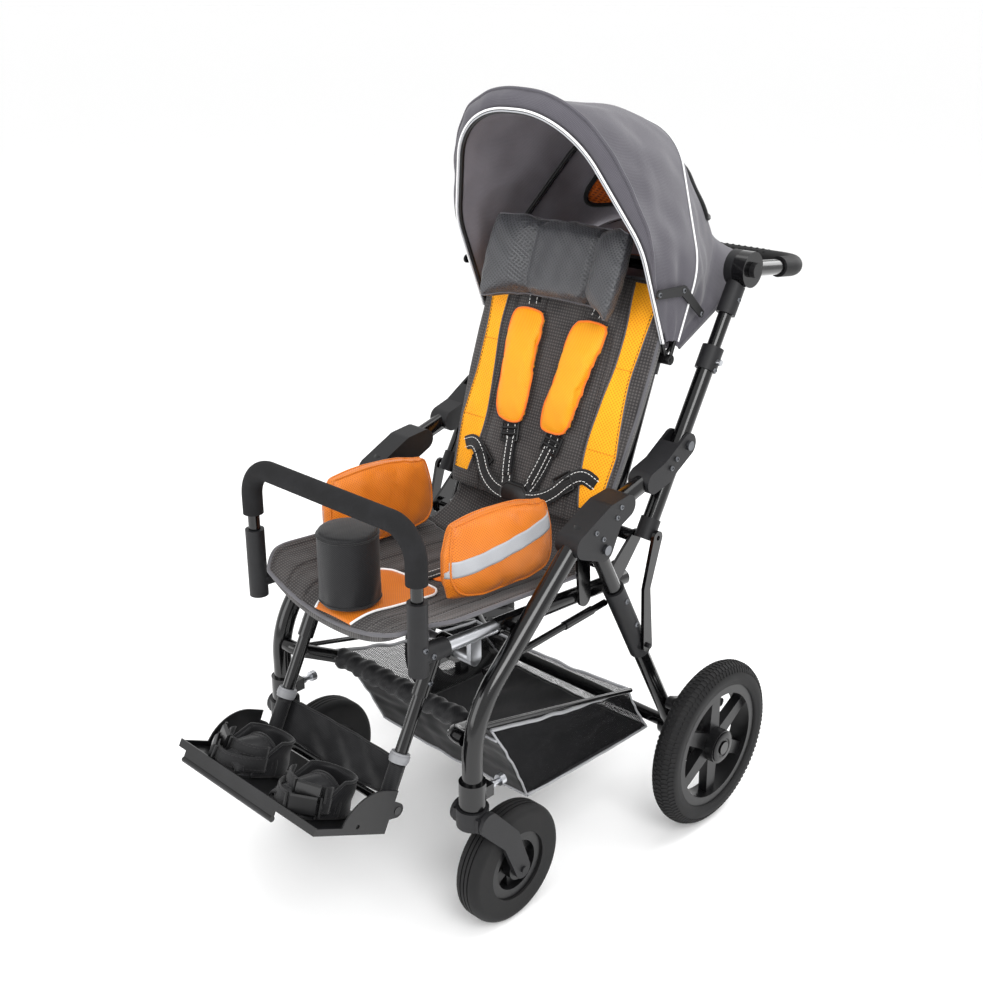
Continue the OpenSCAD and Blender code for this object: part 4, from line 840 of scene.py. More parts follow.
class Repeats:
    """Builds the two node trees that set small parts along paths and on spots."""

    @staticmethod
    def _tree(name: str, sockets: Sequence[tuple[str, str]]) -> tuple[bpy.types.NodeTree, bpy.types.Node]:
        """Starts a tree with its inputs.

        Args:
            name: the tree's name.
            sockets: input names and socket types.

        Returns:
            The tree and its input node.
        """
        tree = bpy.data.node_groups.new(name, "GeometryNodeTree")
        tree.interface.new_socket("Geometry", in_out="OUTPUT", socket_type="NodeSocketGeometry")
        for label, kind in sockets:
            tree.interface.new_socket(label, in_out="INPUT", socket_type=kind)
        return tree, add(tree, "NodeGroupInput")

    @staticmethod
    def _end(tree: bpy.types.NodeTree, given: bpy.types.Node,
             **sockets: bpy.types.NodeSocket) -> bpy.types.NodeTree:
        """Ends a tree: sets copies on points, makes them real and gives them their material.

        Args:
            tree: the tree.
            given: its input node.
            sockets: what the copies' Points, Instance and Rotation come from.

        Returns:
            The tree.
        """
        laid = add(tree, "GeometryNodeInstanceOnPoints", sockets)
        real = add(tree, "GeometryNodeRealizeInstances", {0: laid.outputs[0]})
        done = add(tree, "GeometryNodeSetMaterial", {"Geometry": real.outputs[0],
                                                     "Material": given.outputs["Material"]})
        add(tree, "NodeGroupOutput", {0: done.outputs[0]})
        return tree

    @classmethod
    def stitch_tree(cls) -> bpy.types.NodeTree:
        """Builds the tree that lays dashes of thread along edges."""
        tree, given = cls._tree("stitch_run", (
            ("Geometry", "NodeSocketGeometry"), ("Pitch", "NodeSocketFloat"), ("Dash", "NodeSocketFloat"),
            ("Thread", "NodeSocketFloat"), ("Material", "NodeSocketMaterial")))
        curve = add(tree, "GeometryNodeMeshToCurve", {"Mesh": given.outputs["Geometry"]})
        even = add(tree, "GeometryNodeResampleCurve",
                   {"Curve": curve.outputs[0], "Length": given.outputs["Pitch"]}, mode="LENGTH")
        dash = add(tree, "GeometryNodeMeshCylinder", {"Vertices": 6, "Radius": given.outputs["Thread"],
                                                      "Depth": given.outputs["Dash"]})
        ahead = add(tree, "GeometryNodeInputTangent")
        turn = add(tree, "FunctionNodeAlignRotationToVector", {"Vector": ahead.outputs[0]}, axis="Z")
        return cls._end(tree, given, Points=even.outputs[0], Instance=dash.outputs[0],
                        Rotation=turn.outputs[0])

    @classmethod
    def stud_tree(cls) -> bpy.types.NodeTree:
        """Builds the tree that sets one small part on each point, turned by two attributes."""
        tree, given = cls._tree("stud_set", (
            ("Geometry", "NodeSocketGeometry"), ("Stud", "NodeSocketObject"),
            ("Material", "NodeSocketMaterial")))
        stud = add(tree, "GeometryNodeObjectInfo", {"Object": given.outputs["Stud"]})
        facing = add(tree, "GeometryNodeInputNamedAttribute", {"Name": "facing"}, data_type="FLOAT_VECTOR")
        along = add(tree, "GeometryNodeInputNamedAttribute", {"Name": "along"}, data_type="FLOAT_VECTOR")
        up = add(tree, "FunctionNodeAlignRotationToVector", {"Vector": facing.outputs[0]}, axis="Z")
        turn = add(tree, "FunctionNodeAlignRotationToVector",
                   {"Rotation": up.outputs[0], "Vector": along.outputs[0]}, axis="X", pivot_axis="Z")
        return cls._end(tree, given, Points=given.outputs["Geometry"], Instance=stud.outputs["Geometry"],
                        Rotation=turn.outputs[0])

    @staticmethod
    def _run(name: str, mesh: bpy.types.Mesh, tree: bpy.types.NodeTree,
             values: dict[str, Any]) -> bpy.types.Object:
        """Runs a tree on a mesh and keeps the result as a plain mesh.

        Args:
            name: the new piece's name.
            mesh: the tree's input.
            tree: the tree.
            values: input names to values.

        Returns:
            The new piece.
        """
        source = linked(name + "_source", mesh)
        modifier = source.modifiers.new("repeat", "NODES")
        modifier.node_group = tree
        for item in tree.interface.items_tree:
            if item.in_out == "INPUT" and item.name in values:
                modifier[item.identifier] = values[item.name]
        made = bpy.data.meshes.new_from_object(source.evaluated_get(bpy.context.evaluated_depsgraph_get()))
        bpy.data.objects.remove(source)
        made.name = name
        box_uv(made)
        return linked(name, made)

    @classmethod
    def stitches(cls, name: str, paths: Sequence[Grid], finish: Finish, pitch: float, dash: float,
                 thread: float) -> bpy.types.Object:
        """Lays stitches along paths.

        Args:
            name: the piece's name.
            paths: polylines in millimetres.
            finish: the thread.
            pitch: distance between stitches.
            dash: length of a stitch.
            thread: its radius, drawn thicker than real thread so that it shows.

        Returns:
            The piece.
        """
        mesh = bpy.data.meshes.new(name + "_paths")
        verts, edges = [], []
        for path in paths:
            edges += [(len(verts) + i, len(verts) + i + 1) for i in range(len(path) - 1)]
            verts += (path * MM).tolist()
        mesh.from_pydata(verts, edges, [])
        tree = bpy.data.node_groups.get("stitch_run") or cls.stitch_tree()
        return cls._run(name, mesh, tree, {"Pitch": pitch * MM, "Dash": dash * MM, "Thread": thread * MM,
                                           "Material": finish.material()})

    @classmethod
    def studs(cls, name: str, spots: Sequence[Grid], facing: Sequence[Grid], along: Sequence[Grid],
              stud: bpy.types.Object, finish: Finish) -> bpy.types.Object:
        """Sets a small part on each spot.

        Args:
            name: the piece's name.
            spots: places in millimetres.
            facing: where the part's Z points at each.
            along: where its X points.
            stud: the part, which is deleted by its maker after the last use.
            finish: what it is made of.

        Returns:
            The piece.
        """
        mesh = bpy.data.meshes.new(name + "_spots")
        mesh.from_pydata((np.array(spots, float) * MM).tolist(), [], [])
        for label, rows in (("facing", facing), ("along", along)):
            layer = mesh.attributes.new(label, "FLOAT_VECTOR", "POINT")
            layer.data.foreach_set("vector", unit_rows(np.array(rows, float)).astype(np.float32).ravel())
        tree = bpy.data.node_groups.get("stud_set") or cls.stud_tree()
        piece = cls._run(name, mesh, tree, {"Stud": stud, "Material": finish.material()})
        piece.data.polygons.foreach_set("use_smooth", [True] * len(piece.data.polygons))
        return sharpen(piece)


# Lines of the frame that the cloth follows, in millimetres

def lean(degrees: float) -> np.ndarray:
    """Gives the side-view direction that leans forward from upright."""
    return np.array([-math.sin(math.radians(degrees)), math.cos(math.radians(degrees))])


def rail_z(y: Grid | float) -> Grid | float:
    """Gives the height of the seat rails at a place."""
    return 449 + (-105 - y) * math.tan(math.radians(4.4))


@dataclass(frozen=True)
class SideLine:
    """A line in side view with its own along and across directions."""

    start: tuple[float, float]
    along: tuple[float, float]
    across: tuple[float, float]

    def at(self, x: Grid | float, run: Grid | float, out: Grid | float) -> Grid:
        """Gives points from a sideways place, a run along the line and a distance across it."""
        x, run, out = np.broadcast_arrays(*(np.asarray(v, float) for v in (x, run, out)))
        return np.stack([x, self.start[0] + run * self.along[0] + out * self.across[0],
                         self.start[1] + run * self.along[1] + out * self.across[1]], axis=-1)


def ahead_of(degrees: float) -> tuple[float, float]:
    """Gives the side-view direction that a line leaning back faces, forward and up."""
    return -math.cos(math.radians(degrees)), math.sin(math.radians(degrees))


# Degrees that the back and the foot tubes lean
BACK_LEAN = 20.5
FOOT_LEAN = 26.9
FOOT_OUT = ahead_of(FOOT_LEAN)
BACK = SideLine((-146.0, 482.155), tuple(lean(-BACK_LEAN)), ahead_of(BACK_LEAN))
FOOT = SideLine((-446 + 30 * FOOT_OUT[0], 438 + 30 * FOOT_OUT[1]), tuple(-lean(-FOOT_LEAN)), FOOT_OUT)
HOOD_PIN = np.array([-29.731, 793.13])


def declare(piece: bpy.types.Object, face: Grid) -> None:
    """Works out a sheet's flat size, measured along its finished outer face; the size is not kept.

    Args:
        piece: the sheet.
        face: its outer grid in millimetres.
    """
    length = np.linalg.norm(np.diff(face, axis=1), axis=2).sum(1).max() * MM
    width = np.linalg.norm(np.diff(face, axis=0), axis=2).sum(0).max() * MM
    hoops = ["hood_front_hoop", "hood_mid_hoop", "hood_rear_hoop"]
    hoops if "hood" in piece.name else []


# Sub-assemblies

@dataclass
class SeatCloth:
    """Sling seat: ribbed mesh with sewn channels, bound edges, an orange tongue and a bare round patch."""

    half: float = 188
    length: float = 338
    rear_y: float = -218
    lift: float = 9
    dip: float = 32
    thick: float = 15
    # Places of the sewn channels, as shares of the half width
    marks: tuple[float, ...] = (0.2, 0.45, 0.7, 0.93)

    def top(self, u: Grid, t: Grid) -> Grid:
        """Gives the seat's upper face from its place across and along it."""
        u, t = np.broadcast_arrays(np.asarray(u, float), np.asarray(t, float))
        half = self.half - 42 * np.maximum(0, (t - 0.78) / 0.22) ** 2
        y = self.rear_y - self.length * t
        z = rail_z(y) + self.lift + self.dip * np.abs(u) ** 2.2 - 16 * np.maximum(0, (t - 0.86) / 0.14) ** 2
        return np.stack([u * half, y, z], axis=-1)

    def cover(self) -> bpy.types.Object:
        """Builds the padded sling with its channels."""
        t, u = np.meshgrid(np.linspace(0, 1, 69), np.linspace(-1, 1, 121), indexing="ij")
        upper, lower = self.top(u, t), self.top(u, t)
        channel = np.zeros_like(u)
        for mark in self.marks:
            channel -= 2.2 * np.exp(-((np.abs(u) - mark) / 0.016) ** 2)
        soft = 1.2 * np.cos(u * 8 * math.pi) + 0.8 * np.sin(t * 21 + u * 5) * np.sin(u * 9 - t * 4)
        upper[..., 2] += channel + soft * (1 - np.abs(u) ** 6)
        lower[..., 2] -= self.thick * (0.45 + 0.55 * (1 - np.abs(u) ** 4))
        piece = Built().put(shell(upper, lower), Finish.RIBBED).make("seat_cover")
        ride(piece, "chassis", "grey_mesh", "seat_pad")
        return piece

    def trims(self, cover: bpy.types.Object) -> None:
        """Builds the bound edge, the seams, the tongue and the round patch on the cover."""
        edge = np.vstack([self.top(np.full(40, -1), np.linspace(0, 1, 40)),
                          self.top(np.linspace(-1, 1, 50), 1.0)[1:],
                          self.top(np.full(40, 1), np.linspace(1, 0, 40))[1:]])
        edge[:, 2] -= 2.4
        ride(Built().cord(edge, 3.2, Finish.BINDING).make("seat_binding"), "chassis", "grey_mesh")
        seams = []
        for mark in self.marks:
            for side in (-1, 1):
                line = self.top(np.full(60, side * (mark + 0.022)), np.linspace(0.02, 0.96, 60))
                seams.append(snapped(line, cover, 0.3))
        ride(Repeats.stitches("seat_seams", seams, Finish.DARK_THREAD, 6, 4, 0.5), "chassis", "grey_mesh")
        t, u = np.meshgrid(np.linspace(0.52, 0.995, 34), np.linspace(-1, 1, 21), indexing="ij")
        width = 0.36 - 0.1 * (t - 0.52) / 0.48 - 0.3 * np.maximum(0, (0.6 - t) / 0.08) ** 2 * 0.36
        tongue = self.top(u * width, t)
        tongue[..., 2] += 2.6 + 3 * (1 - u ** 2)
        low = tongue.copy()
        low[..., 2] -= 1.4
        patch = Built().put(shell(tongue, low), Finish.SATIN).make("pommel_tongue")
        ride(patch, "chassis", "orange_cloth")
        rim = np.vstack([tongue[::-1, 0], tongue[0], tongue[:, -1]])
        rim[:, 2] += 0.4
        piping = Built().cord(rim, 1.9, Finish.WHITE_PIPING, 5, 2)
        ride(piping.make("tongue_piping"), "chassis", "grey_mesh")
        around = np.c_[round_section(1, 40), np.zeros(40)]
        centre = self.top(0.06, 0.38)
        rings = [snapped(centre + around * radius, cover, lift)
                 for radius, lift in ((19, 0.2), (18, 1.9), (9, 2.3))]
        disc = Built().put(stacked(rings), Finish.ORANGE_BINDING)
        ride(disc.make("seat_round_patch"), "chassis", "orange_cloth")

    def rear_flap(self) -> None:
        """Builds the cloth that turns up from the seat to the back."""
        u = np.linspace(-1, 1, 61)
        rows = []
        low, high = self.top(u * 0.86, 0.0), BACK.at(u * 147, 62, 22)
        for t in np.linspace(0, 1, 19):
            bow = math.sin(math.pi * t)
            row = low * (1 - t) + high * t
            row[:, 1] += 20 * bow * (1 - 0.3 * u ** 2) + 6
            row[:, 2] -= 10 * bow + 6 * (1 - t)
            rows.append(row)
        top = np.array(rows)
        under = top + np.array([0, 2.4, -1.8])
        piece = Built().put(shell(top, under), Finish.RIBBED).make("lumbar_flap")
        ride(piece, "back_carrier", "grey_mesh")

    def build(self) -> None:
        """Builds the seat's cloth."""
        cover = self.cover()
        self.trims(cover)
        self.rear_flap()


@dataclass
class SidePads:
    """Hip pads, stuffed, piped round both faces, with a reflective band on the outside."""

    middle_x: float = 130
    middle_y: float = -346
    middle_z: float = 576.5
    half_long: float = 116
    half_high: float = 70

    def build(self) -> None:
        """Builds both pads with their piping and bands."""
        for side, name in ((1, "left"), (-1, "right")):
            pad = node_copy("thigh_pads", f"hip_pad_{name}", lambda c, s=side: c.x * s > 0)
            inflate(pad, 5, 4.0, 8.0)
            press(pad, lambda p: 0.7 * np.sin(p[:, 1] * 0.13 + p[:, 2] * 0.05) * np.sin(p[:, 2] * 0.11))
            box_uv(pad.data)
            pad.data.materials.append(Finish.SATIN.material())
            ride(pad, "chassis", "orange_cloth", "thigh_pads")
            self.trim(pad, side, name)

    def outline(self, x: float, inset: float) -> Grid:
        """Gives the pad's rounded outline at a sideways place."""
        y, z = rounded(90, (self.half_long - inset, self.half_high - inset), (0.45, 0.5))
        y = self.middle_y + y
        z = self.middle_z + z - 8 * (y - self.middle_y) / self.half_long
        return np.stack([np.full(90, x), y, z], axis=1)

    def trim(self, pad: bpy.types.Object, side: int, name: str) -> None:
        """Pipes a pad's two seams and lays its band.

        Args:
            pad: the stuffed pad.
            side: 1 for the left pad, -1 for the right.
            name: the side's name.
        """
        built = Built()
        for face in (-1, 1):
            ring = snapped(self.outline(side * (self.middle_x + face * 15), 4), pad, 0.6)
            built.loop(ring, 1.7, Finish.SATIN, 6)
        ride(built.make(f"hip_piping_{name}"), "chassis", "orange_cloth")
        tree = surface(pad)
        rows = []
        for offset in np.linspace(-12.5, 12.5, 7):
            row = []
            for y, z in zip(np.linspace(-457, -238, 60), np.linspace(563, 583, 60)):
                start = Vector((side * 0.3, y * MM, (z + offset) * MM))
                hit, normal, _, _ = tree.ray_cast(start, Vector((-side, 0, 0)))
                if hit:
                    row.append((np.array(hit) / MM, np.array(normal)))
            rows.append(row)
        short = min(len(row) for row in rows)
        laid = np.array([[p for p, _ in row[:short]] for row in rows])
        out = np.array([[n for _, n in row[:short]] for row in rows])
        band = shell(laid + out * 0.9, laid - out * 0.5)
        ride(Built().put(band, Finish.REFLECTOR).make(f"hip_band_{name}"), "chassis", "grey_mesh")


@dataclass
class Pommel:
    """Upright roll of black nylon cloth with a piped seam near each end."""

    y: float = -520
    # Clear of the roll, before a seam is laid on it
    outside: float = 60

    def build(self) -> None:
        """Builds the stuffed roll and its seams."""
        roll = node_copy("pommel", "pommel_roll")
        inflate(roll, 5, 3.0, 4.0)
        press(roll, lambda p: 0.8 * np.sin(np.arctan2(p[:, 0], p[:, 1] - self.y) * 9 + p[:, 2] * 0.05)
              * np.exp(-((p[:, 2] - 512) / 14) ** 2))
        box_uv(roll.data)
        roll.data.materials.append(Finish.NYLON_CLOTH.material())
        ride(roll, "chassis", "black_cloth", "pommel")
        around = np.c_[round_section(self.outside, 72), np.zeros(72)]
        seams = Built()
        lo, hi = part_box("pommel")
        for height in (hi.z / MM - 9, lo.z / MM + 8):
            laid = snapped(around + np.array([0, self.y, height]), roll, 0.4)
            seams.put(swept(laid, round_section(1.4, 6), True), Finish.DARK_BINDING)
        ride(seams.make("pommel_seams"), "chassis", "black_cloth")


@dataclass
class BackCloth:
    """Padded back: ribbed middle, wavy amber strips, bound edges and sewn seams."""

    low: float = 52
    high: float = 440
    half: float = 180
    rear: float = 14.3
    thick: float = 26
    # Where the strips begin and end, and the sewn channels across, as shares
    strip_low: float = 0.06
    strip_high: float = 0.985
    channels: tuple[float, float] = (0.2, 0.56)

    def edge(self, t: Grid) -> Grid:
        """Gives the pad's half width along its height."""
        return self.half * (0.82 + 0.18 * np.sin(math.pi / 2 * np.minimum(1, 0.25 + t)))

    def strip_inner(self, t: Grid) -> Grid:
        """Gives the wavy inner edge of the amber strips."""
        return 117 - 9 * np.sin((t - 0.05) * 6.6) + 20 * np.maximum(0, 0.28 - t)

    def strip_outer(self, t: Grid) -> Grid:
        """Gives the outer edge of the amber strips."""
        return np.minimum(self.edge(t) - 6, 163 + 6 * np.sin((t + 0.05) * 7.5))

    def front(self, x: Grid, t: Grid) -> Grid:
        """Gives points on the pad's front from a sideways place and a share of its height."""
        x, t = np.broadcast_arrays(np.asarray(x, float), np.asarray(t, float))
        u = np.abs(x) / self.edge(t)
        out = self.rear + self.thick - 8 * u ** 8 - 6 * np.abs(2 * t - 1) ** 10
        near, far = self.channels
        out = out - 2.6 * np.exp(-((u - near) / 0.018) ** 2) - 3 * np.exp(-((u - far) / 0.03) ** 2)
        out = out + 0.7 * np.sin(t * 26 + x * 0.03) * np.sin(x * 0.07 + t * 5)
        return BACK.at(x, self.low + (self.high - self.low) * t, out - 1.0)

    def build(self) -> None:
        """Builds the pad, strips, binding and stitches."""
        rows = np.linspace(0, 1, 81)
        x_rows = []
        for t in rows:
            inner, outer, edge = self.strip_inner(t), self.strip_outer(t), self.edge(t)
            right = np.concatenate([np.linspace(0, inner, 33), np.linspace(inner, outer, 13)[1:],
                                    np.linspace(outer, edge, 6)[1:]])
            x_rows.append(np.concatenate([-right[:0:-1], right]))
        x = np.array(x_rows)
        t = np.broadcast_to(rows[:, None], x.shape)
        top, cols = self.front(x, t), x.shape[1]
        back = BACK.at(x, self.low + (self.high - self.low) * t, self.rear)
        part = shell(top, back)
        built = Built().put(part, Finish.RIBBED)
        built.finishes.append(Finish.AMBER)
        middle = cols // 2
        for r in range(len(rows) - 1):
            for c in range(cols - 1):
                zone = abs(c + 0.5 - middle)
                if 32 < zone < 44 and self.strip_low < rows[r] < self.strip_high:
                    built.slots[r * (cols - 1) + c] = 1
        pad = built.make("back_cover")
        ride(pad, "backrest", "grey_mesh", "back_pad")
        self.trims(rows)

    def trims(self, rows: Grid) -> None:
        """Binds the edge and sews the seams."""
        binding = Built()
        side = self.front(self.edge(rows), rows)
        side[:, 1] += 6
        binding.cord(side, 3.2, Finish.BINDING, 7, mirror=True)
        for t in (0.0, 1.0):
            across = self.front(np.linspace(-1, 1, 41) * self.edge(t), t)
            across[:, 1] += 5
            binding.cord(across, 3.2, Finish.BINDING, 7)
        ride(binding.make("back_binding"), "backrest", "grey_mesh")
        rope = Built()
        lines, ambers = [], []
        proud = np.array([0, -0.5, 0.2])
        inside = rows[(rows > self.strip_low) & (rows < self.strip_high)]
        for sign in (-1, 1):
            for place in (self.strip_inner(inside), self.strip_outer(inside)):
                edge = self.front(sign * place, inside) + np.array([0, -0.6, 0.2])
                rope.cord(edge, 1.1, Finish.BINDING, sides=6)
                lines.append(self.front(sign * (place - 4), inside) + proud)
            for share in self.channels:
                lines.append(self.front(sign * (share * self.edge(rows) + 5), rows) + proud)
            for t in (0.64, 0.3):
                band = np.linspace(float(self.strip_inner(t)) + 2, float(self.strip_outer(t)) - 2, 14)
                ambers.append(self.front(sign * band, t) + proud)
        ride(rope.make("back_strip_piping"), "backrest", "grey_mesh")
        ride(Repeats.stitches("back_seams", lines, Finish.DARK_THREAD, 6, 4, 0.5), "backrest", "grey_mesh")
        threads = Repeats.stitches("back_strip_stitches", ambers, Finish.AMBER_THREAD, 5, 3.4, 0.5)
        ride(threads, "backrest", "orange_cloth")


@dataclass
class Harness:
    """Shoulder pads, webbing with double rows of stitches, ladder-lock buckles and the middle buckle."""

    lie: float = 40.6
    web: float = 25
    stitch_rows: list[Grid] = field(default_factory=list)

    def strap(self, built: Built, path: Sequence[Sequence[float]], width: float) -> None:
        """Adds a strap along points of the back, with its two stitch rows.

        Args:
            built: gets the strap.
            path: points as [sideways, run, out] on the back.
            width: the strap's width.
        """
        spots = np.array(path, float)
        line = smooth_path(BACK.at(spots[:, 0], spots[:, 1], spots[:, 2]), 4)
        front = np.broadcast_to(np.array([0, BACK.across[0], BACK.across[1]]), line.shape)
        built.put(swept(line, flat_section(width, 2.0), normals=front), Finish.WEBBING)
        side = np.cross(tangents(line), front)
        for sign in (-1, 1):
            self.stitch_rows.append(line + side * sign * width * 0.3 + front * 2.3)

    def buckle(self, built: Built, x: float, run: float, turn: float) -> None:
        """Adds a ladder-lock buckle: a frame with two bars.

        Args:
            built: gets the buckle.
            x: sideways place.
            run: place up the back.
            turn: lean in degrees.
        """
        c, s = math.cos(math.radians(turn)), math.sin(math.radians(turn))

        def spot(a: float, b: float, out: float) -> Grid:
            """Gives a place on the leaning buckle."""
            return BACK.at(x + c * a - s * b, run + s * a + c * b, self.lie + out)

        corners = ((-17, -15), (17, -15), (17, 15), (-17, 15))
        built.loop([spot(a, b, 4.6) for a, b in corners], 2.3, Finish.POLY)
        for shift in (-4, 6):
            built.cord([spot(a, shift, 5.2) for a in (-17, 17)], 2.6, Finish.POLY, 5, 0, 6)

    def pads(self) -> None:
        """Builds the two stuffed shoulder pads with orange binding."""
        broad, tall = 42, 98
        rim = np.stack([*rounded(120, (broad, tall), (0.42, 0.42)), np.zeros(120)], 1)
        rim = even_path(rim, 5, True)[:, :2]
        for sign, name, base, slope in ((1, "left", 54, 13), (-1, "right", 58, 7)):

            def place(spots: Grid, high: float, sign: int = sign, base: float = base,
                      slope: float = slope) -> Grid:
                """Gives places on the back from points of the pad's outline."""
                wide = spots[:, 0] * (0.92 + 0.08 * spots[:, 1] / tall)
                across = sign * (base + slope * spots[:, 1] / tall + wide)
                return BACK.at(across, 269 + spots[:, 1], self.lie + 2.4 + high)

            pad = Built().put(pillow(rim, 15, place), Finish.TWILL_AMBER).make(f"shoulder_pad_{name}")
            inflate(pad, 4, 1.0, 6.0)
            press(pad, lambda p: 0.4 * np.sin(p[:, 2] * 0.17 + p[:, 0] * 0.08) * np.sin(p[:, 0] * 0.11))
            box_uv(pad.data)
            ride(pad, "backrest", "orange_cloth", "harness")
            ring = snapped(place(rim * 0.985, 9.0), pad, 0.5)
            binding = Built().loop(ring, 1.9, Finish.ORANGE_BINDING)
            ride(binding.make(f"shoulder_binding_{name}"), "backrest", "orange_cloth")

    def build(self) -> None:
        """Builds the whole harness."""
        self.pads()
        straps, buckles = Built(), Built()
        runs = (
            (self.web, ((66, 372, 1), (72, 405, -2), (78, 432, -8))),
            (self.web, ((47, 176, 1), (42, 140, 0), (30, 96, 3), (20, 70, 10))),
            (20, ((40, 150, 4), (34, 118, 7), (27, 92, 9))),
            (self.web, ((142, 118, -6), (118, 128, 1), (96, 112, 4), (74, 82, 8), (46, 66, 11),
                        (22, 62, 12))),
        )
        for sign in (1, -1):
            for width, path in runs:
                self.strap(straps, [(sign * x, run, self.lie + out) for x, run, out in path], width)
            self.buckle(buckles, sign * 45, 160, sign * -10)
            self.buckle(buckles, sign * 88, 104, sign * 38)
        shape = np.array([[-24, -14], [24, -14], [28, -4], [28, 8], [18, 17], [-18, 17], [-28, 8],
                          [-28, -4]], float)

        def plate(scale: float, out: float) -> Grid:
            """Gives the middle buckle's outline at a distance from the back."""
            return BACK.at(shape[:, 0] * scale, 64 + shape[:, 1] * scale, self.lie + out)

        for scale, out in ((1.0, 6), (0.94, 12)):
            buckles.loop(plate(scale, out), 3.0, Finish.POLY, 4, 8)
        buckles.put(stacked([plate(1.0, 4), plate(1.0, 13), plate(0.8, 15)], (0, 2)), Finish.POLY)
        ride(straps.make("harness_webbing"), "backrest", "black_cloth", "harness")
        ride(sharpen(buckles.make("harness_buckles")), "backrest", "black_plastic")
        threads = Repeats.stitches("harness_stitches", self.stitch_rows, Finish.THREAD, 6, 4.2, 0.6)
        ride(threads, "backrest", "black_cloth")
        self.crotch_strap()

    def crotch_strap(self) -> None:
        """Builds the strap that comes up from the seat between the legs."""
        seat = SeatCloth()
        runs = np.linspace(0.62, 0.16, 12)
        path = seat.top(np.zeros(12), runs) + np.array([0, 0, 2.2])
        path = np.vstack([path, path[-1:] + np.array([[0, 14, 14], [0, 18, 34]])])
        line = smooth_path(path, 4)
        ahead = tangents(line)
        up = np.cross(np.array([1.0, 0, 0]), ahead)
        up *= np.sign(up[:, 2:3] + 1e-6)
        built = Built().put(swept(line, flat_section(self.web, 2.0), normals=up), Finish.WEBBING)
        ride(built.make("crotch_strap"), "chassis", "black_cloth")
        rows = [line + np.array([s * 7.5, 0, 0]) + up * 2.4 for s in (-1, 1)]
        ride(Repeats.stitches("crotch_stitches", rows, Finish.THREAD, 6, 4.2, 0.6), "chassis", "black_cloth")


@dataclass
class Headrest:
    """Stuffed headrest with two thick forward wings, spacer mesh in front and nylon behind."""

    middle: float = 445
    high: float = 72
    half: float = 138
    # Distance of its middle plane from the back's own line
    stand: float = 54.6
    seam: float = 60
    # Depth of the sewn grooves, on the child's left and right
    grooves: tuple[float, float] = (7.5, 2.5)

    def bow(self, u: Grid) -> Grid:
        """Gives how far the cushion's middle plane comes forward from its place across."""
        return 46 * np.maximum(0, (np.abs(u) - 0.4) / 0.6) ** 1.3

    def face(self, u: Grid, v: Grid, share: float) -> Grid:
        """Gives one face of the cushion.

        Args:
            u: places across, from -1 to 1.
            v: places up, from -1 to 1.
            share: how much of the thickness lies on this side; negative behind.

        Returns:
            Points in millimetres.
        """
        full = np.sqrt(np.maximum(0, (1 - np.abs(u) ** 4) * (1 - np.abs(v) ** 3)))
        wing = np.clip((np.abs(u) - 0.46) / 0.2, 0, 1)
        thick = (38 + 22 * wing * wing * (3 - 2 * wing)) * (0.3 + 0.7 * full)
        x = self.half * u * (1 - 0.03 * v * v)
        run = self.middle + self.high * v - 15 * np.abs(u) ** 3
        return BACK.at(x, run, self.stand + self.bow(u) + share * thick)

    def build(self) -> None:
        """Builds the headrest, its seams and its piping."""
        v, u = np.meshgrid(np.linspace(-1, 1, 41), np.linspace(-1, 1, 73), indexing="ij")
        cushion = Built().put(shell(self.face(u, v, 0.65), self.face(u, v, -0.35)), Finish.SPACER)
        rest = cushion.make("headrest_cushion")
        inflate(rest, 5, 3.5, 8.0)

        def shape(p: Grid) -> Grid:
            """Gives how far the cushion's creases stand out and its grooves go in."""
            dent = np.abs(np.abs(p[:, 0]) - self.seam)
            creases = 0.9 * np.sin(p[:, 0] * 0.16 + p[:, 2] * 0.09) * np.sin(p[:, 2] * 0.12)
            deep = np.where(p[:, 0] > 0, *self.grooves)
            return creases - deep * np.exp(-(dent / 4.5) ** 2)

        press(rest, shape)
        box_uv(rest.data)
        mesh = rest.data
        mesh.materials.append(Finish.NYLON_CLOTH.material())
        ahead = Vector((0, BACK.across[0], BACK.across[1]))
        for face in mesh.polygons:
            face.material_index = int(face.normal.dot(ahead) < -0.25)
        ride(rest, "head_support", "grey_mesh", "headrest")
        seams = Built()
        for v_edge in (-1, 1):
            line = self.face(np.linspace(-0.97, 0.97, 70), np.full(70, v_edge), 0.5)
            seams.cord(snapped(line, rest, 0.2), 1.3, Finish.BINDING, 5, sides=6)
        ride(seams.make("headrest_piping"), "head_support", "grey_mesh")


